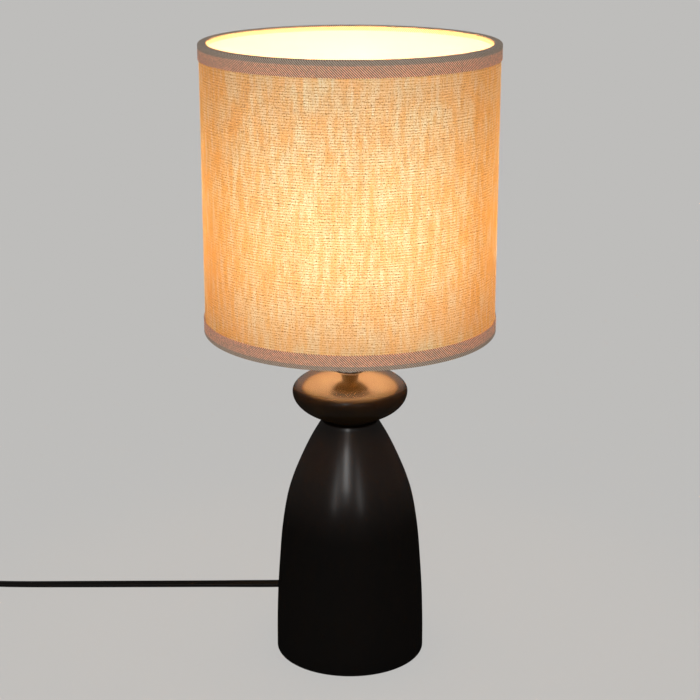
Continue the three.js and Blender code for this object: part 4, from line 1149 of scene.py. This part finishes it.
def bias_pattern(edge, direction):
    """Light through the strip: slanting yarns, and a painted shadow of the wire, where none passes."""
    def pattern(finish, place):
        parts = add_node(finish, "SeparateXYZ", {0: place}).outputs
        slant = sum_of(finish, 0, (parts["X"], math.sqrt(0.5)), (parts["Y"], math.sqrt(0.5)))
        yarns = wave(finish, slant, BIAS_PITCH)
        noise = speckle(finish, 2.0, (1, 1, 1), 2.0, place)
        slubs = speckle(finish, 3.0, (1, 4, 1), 2.0, place)
        light = sum_of(finish, 0.58, (noise, 0.6), (slubs, 0.75))
        shade = sum_of(finish, 0.35, (yarns, 0.8), (noise, 0.8))
        # The wire's painted shadow: the strip lets no light through between the edge and the wire's far
        # side.
        painted_shadow_end = edge - direction * PAINTED_SHADOW_REACH
        outside_painted_shadow = add_node(finish, "MapRange", {
            "Value": parts["Y"], "From Min": (painted_shadow_end + direction * PAINTED_SHADOW_FADE) * MM,
            "From Max": (painted_shadow_end - direction * PAINTED_SHADOW_FADE) * MM, "To Min": 0.0, "To Max": 1.0})
        return add_node(finish, "Math", {0: light, 1: outside_painted_shadow}, operation="MULTIPLY"), shade
    return pattern


def binding(name, node, edge, direction):
    """One folded strip: its cloth, and a plainer finish where it lies against the drum."""
    low, high = span(node)
    strip = turn(name, strip_section(edge, direction, high.z - low.z), 256)
    band_cloth = cloth_finish("linen_bias_" + name, band_outer, BAND_SEEN, (BAND_DENSE_AND_PAINTED_SHADOW, BAND_THIN),
                              BAND_PASS_SHARE, bias_pattern(edge, direction))
    band_back = new_finish("linen_bias_back_" + name, "#e8dccb", Roughness=0.85)
    mix_in(band_back, BACK_PASS_SHARE, add_node(band_back, "BsdfTranslucent", {"Color": BACK_PASSED}))
    fit(strip, band_cloth, "linen_band", "shade", node)
    strip.data.materials.append(band_back)
    against_cloth = (band_outer - BAND_THICKNESS) * MM
    for face in strip.data.polygons:
        if abs(face.center.xy.length - against_cloth) < 0.05 * MM:
            face.material_index = 1
    return strip


bindings = [binding("upper_binding", "upper_band", upper_high.z, 1),
            binding("lower_binding", "lower_band", lower_low.z, -1)]
print(f"bindings {upper_high.z - upper_low.z:.1f} mm wide, fold radius {EDGE_FOLD} mm")

# %% [markdown]
# ## The wire carrier
#
# Three white-enamelled spokes run from the pressed ring out and down to the lower wire ring. A wire is
# bent, not cut at an angle, so each spoke leaves the ring level, slopes, and runs level again where it
# is spot-welded. The enamel is a thick gloss coat that rounds every edge.

# %% Carrier
SPOKE_RADIUS = 1.6
SPOKE_END = [(0, 0), (3, 0.4), (10, 3.2)]  # distance from either end, and how far the wire is off its level
RING_WIDTH = 5.0

enamel = new_finish("steel_enamelled_white", "#e6e4de", Roughness=0.32, IOR=1.5)
vary(enamel, "Roughness", speckle(enamel, 4), 0.26, 0.42)
relief(enamel, speckle(enamel, 1.5), 0.015)

fitter_low, fitter_high = span("fitter_ring")
lower_wire_low, lower_wire_high = span("lower_wire_ring")


def spoke(name, degrees):
    start, end = fitter_high.x + GAP, band_inner - GAP
    top, foot = fitter_high.z - SPOKE_RADIUS - 0.1, (lower_wire_low.z + lower_wire_high.z) / 2
    bends = [(start + along, 0, top - off) for along, off in SPOKE_END]
    bends += [(end - along, 0, foot + off) for along, off in reversed(SPOKE_END)]
    wire = sweep(name, smooth_line(bends, 6), circle(SPOKE_RADIUS, 16), Vector((0, 1, 0)))
    return lay(wire, degrees, "Z")


carrier = collar("carrier_ring", "fitter_ring", -fitter_low.x - RING_WIDTH, (0.3, 0.6, 0.6, 0.3))
fit(carrier, enamel, "white_steel", "shade", "fitter_ring")
for number in (1, 2, 3):
    wire = spoke(f"carrier_spoke_{number}", 90 + 120 * (number - 1))
    fit(wire, enamel, "white_steel", "shade", f"spoke_{number}")
print("carrier: spokes of", 2 * SPOKE_RADIUS, "mm wire")

# %% [markdown]
# ## The hand switch
#
# The in-line switch is two mouldings screwed together from below, with a rocker in a window. Moulded
# boxes need draft and soft corners, so the cover is lofted from rounded rectangles that draw in towards
# the top. The window, the two flex inlets and the screw holes are then cut out of it.

# %% Levels of a moulded box, and its cutting tools
SWITCH_CORNER = 9
LEAST_CORNER = 0.4
TUNNEL_REACH = Vector((40, 0, 0))
SCREW_PLACE = Vector((22, 8.5, 0))
SCREW_HOLE = (-5, 11.9, 1.8, 20)  # lowest and highest point, radius and facets

base_low, base_high = span("switch_base")
cover_low, cover_high = span("switch_cover")
switch_size = cover_high - cover_low
switch_foot = (cover_low + cover_high) / 2
switch_foot.z = 0
inlet_height = (base_high.z + cover_low.z) / 2


def box_ring(width, depth, corner, centre, steps=8, inset=0):
    """One level of a moulded box: a rounded rectangle about its centre, drawn in by inset."""
    corner = max(corner - inset, LEAST_CORNER)
    outline = rounded_box(width - 2 * inset, depth - 2 * inset, corner, steps)
    return [centre + Vector((x, y, 0)) for x, y in outline]


def switch_half(name, levels):
    """A moulding of the switch, from the inset and height of each of its levels."""
    return loft(name, [box_ring(switch_size.x, switch_size.y, SWITCH_CORNER, switch_foot + UP * height,
                                inset=inset) for inset, height in levels])


def block(name, size, height, corner=0.5):
    """A box with rounded upright edges on the switch's axis, its middle at the given height."""
    ends = [switch_foot + UP * (height + side * size[2] / 2) for side in (-1, 1)]
    return loft(name, [box_ring(*size[:2], corner, end, 3) for end in ends])


def at_screws(name, low, high, radius, facets=24):
    """Upright rods at both screws."""
    places = [switch_foot + side * SCREW_PLACE for side in (1, -1)]
    return [rod(name, place + UP * low, place + UP * high, radius, facets) for place in places]


def shared_tools():
    """The flex's tunnel and the screw holes, which both halves share."""
    middle = switch_foot + UP * inlet_height
    tunnel = rod("tunnel", middle - TUNNEL_REACH, middle + TUNNEL_REACH, flex_bore + 0.2, 32)
    return [tunnel, *at_screws("screw", *SCREW_HOLE)]


print(f"switch {switch_size.x:.0f} x {switch_size.y:.0f} mm, flex inlet at {inlet_height:.1f} mm")

# %% Cover and base
COVER_FALL = [(0, 0), (0.15, 0.55), (0.45, 0.75), (1.0, 0.9), (1.9, 0.98), (3.0, 1)]
COVER_EASE = 0.25
BASE_FALL = [(0.8, 0), (0.3, 0.2), (0, 0.7)]  # inset, and height above the base's foot
SWITCH_ROOM = (34, 18, 12)
COVER_ROOM_HEIGHT = 6  # of the room's middle over the table
BASE_ROOM_HEIGHT = 8  # and over the base's foot
ROCKER_WINDOW = (19.8, 9.8, 20)
WINDOW_HEIGHT = 16
WINDOW_CORNER = 1.2
SCREW_HEAD_RADIUS = 3.1
SCREW_HEAD_SINK = 2

rise = switch_size.z - COVER_EASE
cover_levels = [(inset, cover_low.z + COVER_EASE + share * rise) for inset, share in COVER_FALL]
cover = switch_half("switch_cover_moulding", [(COVER_EASE, cover_low.z), *cover_levels])
cut(cover, block("room", SWITCH_ROOM, COVER_ROOM_HEIGHT),
    block("window", ROCKER_WINDOW, WINDOW_HEIGHT, WINDOW_CORNER), *shared_tools())

base_levels = [(inset, base_low.z + height) for inset, height in BASE_FALL]
base_levels += [(0, base_high.z - 0.2), (0.2, base_high.z)]
base = switch_half("switch_base_moulding", base_levels)
heads = at_screws("head", -3, base_low.z + SCREW_HEAD_SINK, SCREW_HEAD_RADIUS)
cut(base, block("base_room", SWITCH_ROOM, base_low.z + BASE_ROOM_HEIGHT), *heads, *shared_tools())

fit(cover, black_plastic, "black_plastic", "lamp", "switch_cover")
fit(base, black_plastic, "black_plastic", "lamp", "switch_base")
print("cover", len(cover.data.polygons), "faces, base", len(base.data.polygons))

# %% [markdown]
# The rocker is a shallow V seen from the side, tilted to its rest. It is lofted across the switch from
# that side view, narrowed a little at both faces so that its edges catch a soft line of light.

# %% Rocker
ROCKER_REST = math.radians(8)
ROCKER_LENGTH = 19
ROCKER_HEIGHT = 7
ROCKER_PROUD = 1.2
ROCKER_EASE = 0.5
ROCKER_SIDE = 3  # how far its lower corners are cut off
ROCKER_ROOM = 0.4
PIN_HOLE_RADIUS = 1.5

pin_low, pin_high = span("rocker_pin")
pin_middle = (pin_low + pin_high) / 2
rocker_low, rocker_high = span("switch_rocker")
half_width = (rocker_high.y - rocker_low.y) / 2


def rocker_side(inset):
    """The rocker's side view about its pin, drawn in by inset."""
    reach = ROCKER_LENGTH / 2 - ROCKER_ROOM
    crest = cover_high.z + ROCKER_PROUD - pin_middle.z - reach * math.sin(ROCKER_REST)
    foot = crest - ROCKER_HEIGHT
    dip = reach * math.tan(ROCKER_REST) / 2
    x = reach - inset
    side = foot + ROCKER_SIDE
    return rounded([(-x, side, 0.5), (-x / 3, foot + inset, 0.5), (x / 3, foot + inset, 0.5),
                    (x, side, 0.5), (x, crest - inset, 0.8), (0, crest - dip - inset, 4),
                    (-x, crest - inset, 0.8)], 4)


def rocker_ring(inset, across):
    tilt = Matrix.Rotation(-ROCKER_REST, 3, "Y")
    return [tilt @ Vector((x, across, z)) + pin_middle for x, z in rocker_side(inset)]


levels = [(ROCKER_EASE, -half_width), (0, -half_width + ROCKER_EASE), (0, half_width - ROCKER_EASE),
          (ROCKER_EASE, half_width)]
rocker = loft("rocker_moulding", [rocker_ring(inset, across) for inset, across in levels])
pin_reach = Vector((0, 8, 0))
cut(rocker, rod("pin_hole", pin_middle - pin_reach, pin_middle + pin_reach, PIN_HOLE_RADIUS))
fit(rocker, black_plastic, "black_plastic", "rocker", "switch_rocker")
print("rocker", round(2 * half_width, 1), "mm wide")

# %% [markdown]
# ## Coil tie and plug
#
# The coil is held by a short strap of the same soft plastic. The plug is the flat European kind: a
# wedge of PVC moulded onto the flex, with grip grooves across its flat sides and two slim sleeved pins.
# The strap is one section carried round its loop. The plug is lofted from many rounded rectangles,
# because its width, its thickness and its grooves all change along it.

# %% Tie
TIE_THICKNESS = 1.15
TIE_CORNER = 2.4
TIE_EASE = (0.3, 0.4)

tie_low, tie_high = span("coil_tie")
tie_middle = (tie_low + tie_high) / 2
tie_size = tie_high - tie_low


def tie_loop(inset, across):
    """The way round the coil of one point of the strap's section."""
    outline = rounded_box(tie_size.x - 2 * inset, tie_size.z - 2 * inset, TIE_CORNER - inset, 5)
    return [Vector((x, across, z)) + tie_middle for x, z in outline]


tie_edge = tie_size.y / 2
tie_flat = tie_edge - TIE_EASE[1]
tie_section = [(TIE_EASE[0], -tie_edge), (0, -tie_flat), (0, tie_flat), (TIE_EASE[0], tie_edge),
               (TIE_THICKNESS, tie_edge), (TIE_THICKNESS, -tie_edge)]
tie_rings = [list(ring) for ring in zip(*[tie_loop(inset, across) for inset, across in tie_section])]
strap = loft("coil_strap", tie_rings, closed=True)
fit(strap, black_pvc, "black_plastic", "lamp", "coil_tie")
print("strap of", len(tie_rings), "sections round the coil")

# %% Plug
PLUG_TAPER = 18.5
PLUG_TAIL_WIDTH = 10
PLUG_TAIL_SHARE = 0.78  # of the plug's thickness, at its tail
PLUG_THICKENS = 12
PLUG_EASE = 1.2
PLUG_CORNER = 3.0
PLUG_STEPS = 96
GRIP_GROOVES = 5
GROOVE_PITCH = 3.0
GROOVE_DEPTH = 0.6
GRIP_TO_FACE = 4
PIN_SLIM_RADIUS = 1.7

plug_low, plug_high = span("plug_body")
plug_middle = (plug_low + plug_high) / 2
plug_size = plug_high - plug_low


def plug_ring(along):
    """The plug's outline at a distance from its tail."""
    to_end = min(along, plug_size.x - along)
    ease = PLUG_EASE * (1 - math.sqrt(max(0, 1 - (1 - min(to_end / PLUG_EASE, 1)) ** 2)))
    grip_length = GRIP_GROOVES * GROOVE_PITCH
    into_grip = along - (plug_size.x - GRIP_TO_FACE - grip_length)
    groove = 0
    if 0 < into_grip < grip_length:
        groove = GROOVE_DEPTH * (0.5 - 0.5 * math.cos(2 * math.pi * into_grip / GROOVE_PITCH)) ** 2
    width = PLUG_TAIL_WIDTH + (plug_size.y - PLUG_TAIL_WIDTH) * eased(min(along / PLUG_TAPER, 1))
    thick = plug_size.z * (PLUG_TAIL_SHARE + (1 - PLUG_TAIL_SHARE) * min(along / PLUG_THICKENS, 1))
    outline = rounded_box(width - 2 * ease - groove, thick - 2 * ease - 2 * groove, PLUG_CORNER - ease, 6)
    return [Vector((plug_low.x + along, plug_middle.y + y, plug_middle.z + z)) for y, z in outline]


def pin_axis(number):
    """A pin's axis at its root: the pin's lowest corner with its middle height and side."""
    low, high = span(f"plug_pin_{number}")
    return Vector((low.x, (low.y + high.y) / 2, (low.z + high.z) / 2))


plug = loft("plug_moulding", [plug_ring(plug_size.x * i / PLUG_STEPS) for i in range(PLUG_STEPS + 1)])
for number in (1, 2):
    root = pin_axis(number)
    end = Vector((plug_high.x + 3, root.y, root.z))
    cut(plug, rod("pin_root", root - Vector((GAP, 0, 0)), end, PIN_SLIM_RADIUS))
fit(plug, black_pvc, "black_pvc", "lamp", "plug_body")
print(f"plug {plug_size.x:.0f} mm long, {GRIP_GROOVES} grip grooves")

# %% Pins
PIN_CORE_RADIUS = 1.4  # inside its sleeve
PIN_NOSE = 1.2
PIN_STEP = 0.1  # bare metal starts this far past the sleeve

for number in (1, 2):
    pin_low, pin_high = span(f"plug_pin_{number}")
    sleeve_start, sleeve_end = [corner.x - pin_low.x for corner in span(f"pin_sleeve_{number}")]
    radius, length = (pin_high.y - pin_low.y) / 2, pin_high.x - pin_low.x
    bare_from = sleeve_end + PIN_STEP
    pin = turn(f"plug_pin_turned_{number}", [
        (0, 0), (PIN_CORE_RADIUS, 0), (PIN_CORE_RADIUS, bare_from), (radius, bare_from),
        *arc(radius - PIN_NOSE, length - PIN_NOSE, PIN_NOSE, 0, 80, 5), (0, length)], 32)
    sleeve = turn(f"pin_sleeve_moulded_{number}", rounded([
        (PIN_SLIM_RADIUS, sleeve_start, 0), (radius, sleeve_start, 0),
        (radius, sleeve_end, 0.15), (PIN_SLIM_RADIUS, sleeve_end, 0)], 2), 32)
    for piece in (pin, sleeve):
        lay(piece, 90, "Y", pin_axis(number))
    fit(pin, nickel, "zinc_steel", "lamp", f"plug_pin_{number}")
    fit(sleeve, black_plastic, "black_plastic", "lamp", f"pin_sleeve_{number}")

# %% [markdown]

# %% [markdown]
# ## Finishes for the parts that keep their CAD shape
#
# The parts inside and underneath are simple enough to keep: felt, tube, nuts, wires, brass contacts.
# They get the finish that their trade leaves. Felt is pressed wool and almost dead matt. Rolled brass
# and zinc plate are metals with a fine direction in them. Unglazed porcelain is chalky, and the glass
# round the bulb's tip is the glossiest thing on the lamp.

# %% Felt, brass, porcelain and glass
felt = new_finish("wool_felt_black", "#1b1b1c", Roughness=0.95, IOR=1.4, Sheen_Weight=0.35)
two_tone(felt, speckle(felt, 1.2, detail=6.0), "#151516", "#2a292b")
relief(felt, speckle(felt, 0.8, detail=6.0), 0.15)

brass = new_finish("brass_rolled", "#c9a24e", Metallic=1.0, Roughness=0.3)
two_tone(brass, speckle(brass, 3), "#b98f42", "#d8b566")
vary(brass, "Roughness", speckle(brass, 1.5, stretch=(6, 1, 1)), 0.24, 0.42)

porcelain = new_finish("porcelain_unglazed", "#e9e5db", Roughness=0.55, IOR=1.5)
two_tone(porcelain, speckle(porcelain, 2.5), "#e0dbcf", "#f0ede6")
relief(porcelain, speckle(porcelain, 0.9), 0.03)

black_glass = new_finish("cap_glass_black", "#0e0e10", Roughness=0.12, IOR=1.52)
vary(black_glass, "Roughness", speckle(black_glass, 3), 0.08, 0.2)

KEPT = [
    (zinc, ["threaded_tube", "foot_washer", "foot_nut", "terminal_screw_left", "terminal_screw_right",
            "rocker_pin", "switch_screw_1", "switch_screw_2"]),
    (brass, ["screw_shell", "centre_contact", "terminal_left", "terminal_right", "bulb_tip",
             "switch_contact_in", "switch_contact_out"]),
    (enamel, ["upper_wire_ring", "lower_wire_ring"]),
    (felt, ["base_felt"]),
    (black_pvc, ["inner_lead"]),
    (black_plastic, ["lead_tie"]),
    (porcelain, ["holder_insert"]),
    (black_glass, ["bulb_base_glass"]),
]
for finish, nodes in KEPT:
    for node in nodes:
        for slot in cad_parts[node].material_slots:
            slot.material = finish
print(sum(len(nodes) for _, nodes in KEPT), "CAD parts keep their shape")

# %% [markdown]
# ## Table and backdrop
#
# The lamp stands on a pale grey sweep that fades into an equally pale backdrop. A lit lamp throws a warm
# pool on any real table, and it would tint the whole ground. So the ground is mostly a plain even grey
# to the eye and to reflections, with only a little true diffuse paper in it, which keeps the lamp's
# shadow. To diffuse light the sky is a dimmer grey, which fills the shadows softly.

# %% Ground and sky
BACKDROP = "#bfbebc"
GROUND_REACH = 18000  # from the lamp to the edge, in millimetres
PAPER_SHARE = 0.06
EVEN_STRENGTH = 1.02
FILL_GREY = (0.34, 0.34, 0.34, 1.0)


def seen_directly(owner):
    """1 for the eye, mirrors and glass, and 0 for diffuse light."""
    path = add_node(owner, "LightPath").outputs
    feeds = {0: path["Is Camera Ray"], 1: path["Is Glossy Ray"]}
    seen = add_node(owner, "Math", feeds, operation="MAXIMUM")
    return add_node(owner, "Math", {0: seen, 1: path["Is Transmission Ray"]}, operation="MAXIMUM")


corners = [(x * GROUND_REACH, y * GROUND_REACH, 0) for x, y in ((-1, -1), (1, -1), (1, 1), (-1, 1))]
ground = mesh_object("ground", corners, [(0, 1, 2, 3)])
paper = new_finish("paper_sweep", "#d6d5d3", Roughness=0.9)
even_share = add_node(paper, "Math", {0: seen_directly(paper), 1: 1 - PAPER_SHARE}, operation="MULTIPLY")
even = add_node(paper, "Emission", {"Color": linear(BACKDROP), "Strength": EVEN_STRENGTH})
mix_in(paper, even_share, even)
ground.data.materials.append(paper)

world = bpy.data.worlds.new("studio")
world.use_nodes = True
bpy.context.scene.world = world
sky = add_node(world, "Mix", {0: seen_directly(world), 6: FILL_GREY, 7: linear(BACKDROP)}, data_type="RGBA")
give(world, world.node_tree.nodes["Background"].inputs["Color"], sky.outputs[2])
world.cycles.sampling_method = "NONE"
print("backdrop", BACKDROP)

# %% [markdown]
# ## Studio light
#
# Two tall soft boxes stand low on either side of the camera and light the cloth from the front. Between
# them a narrow strip hangs high, just left of the camera. It is only there for its mirror image, the
# bright streak on the turned shoulder, so it is kept out of the diffuse light. The boxes' own mirror
# images are the two dimmer streaks below it.

# %% Soft boxes and strip
DISTANCE = 1.5
LIT_POINT = Vector((0, 0, 0.13))
# name, azimuth, elevation, lean, width, height, radiance, whether it lights matt surfaces
STUDIO_LIGHTS = [
    ("box_left", -28, 16, 0, 0.19, 0.50, 8.4, True),
    ("box_right", 19, 16, 0, 0.17, 0.50, 8.0, True),
    ("strip_high", -9, 28, 14, 0.16, 0.46, 30.0, False),
]

for name, azimuth, elevation, lean, width, height, radiance, lights_matt in STUDIO_LIGHTS:
    lamp_data = bpy.data.lights.new(name, "AREA")
    lamp_data.shape = "RECTANGLE"
    lamp_data.size, lamp_data.size_y = width, height
    lamp_data.energy = radiance * math.pi * width * height
    studio_light = bpy.data.objects.new(name, lamp_data)
    flat_part = DISTANCE * math.cos(math.radians(elevation))
    studio_light.location = LIT_POINT + Vector((
        flat_part * math.sin(math.radians(azimuth)), -flat_part * math.cos(math.radians(azimuth)),
        DISTANCE * math.sin(math.radians(elevation))))
    towards = LIT_POINT - studio_light.location
    facing = towards.to_track_quat("-Z", "Y").to_matrix() @ Matrix.Rotation(math.radians(lean), 3, "Z")
    studio_light.rotation_euler = facing.to_euler()
    studio_light.visible_diffuse = lights_matt
    bpy.context.scene.collection.objects.link(studio_light)
bpy.context.scene.view_settings.view_transform = "Standard"
print("lights at", [row[1] for row in STUDIO_LIGHTS], "degrees")
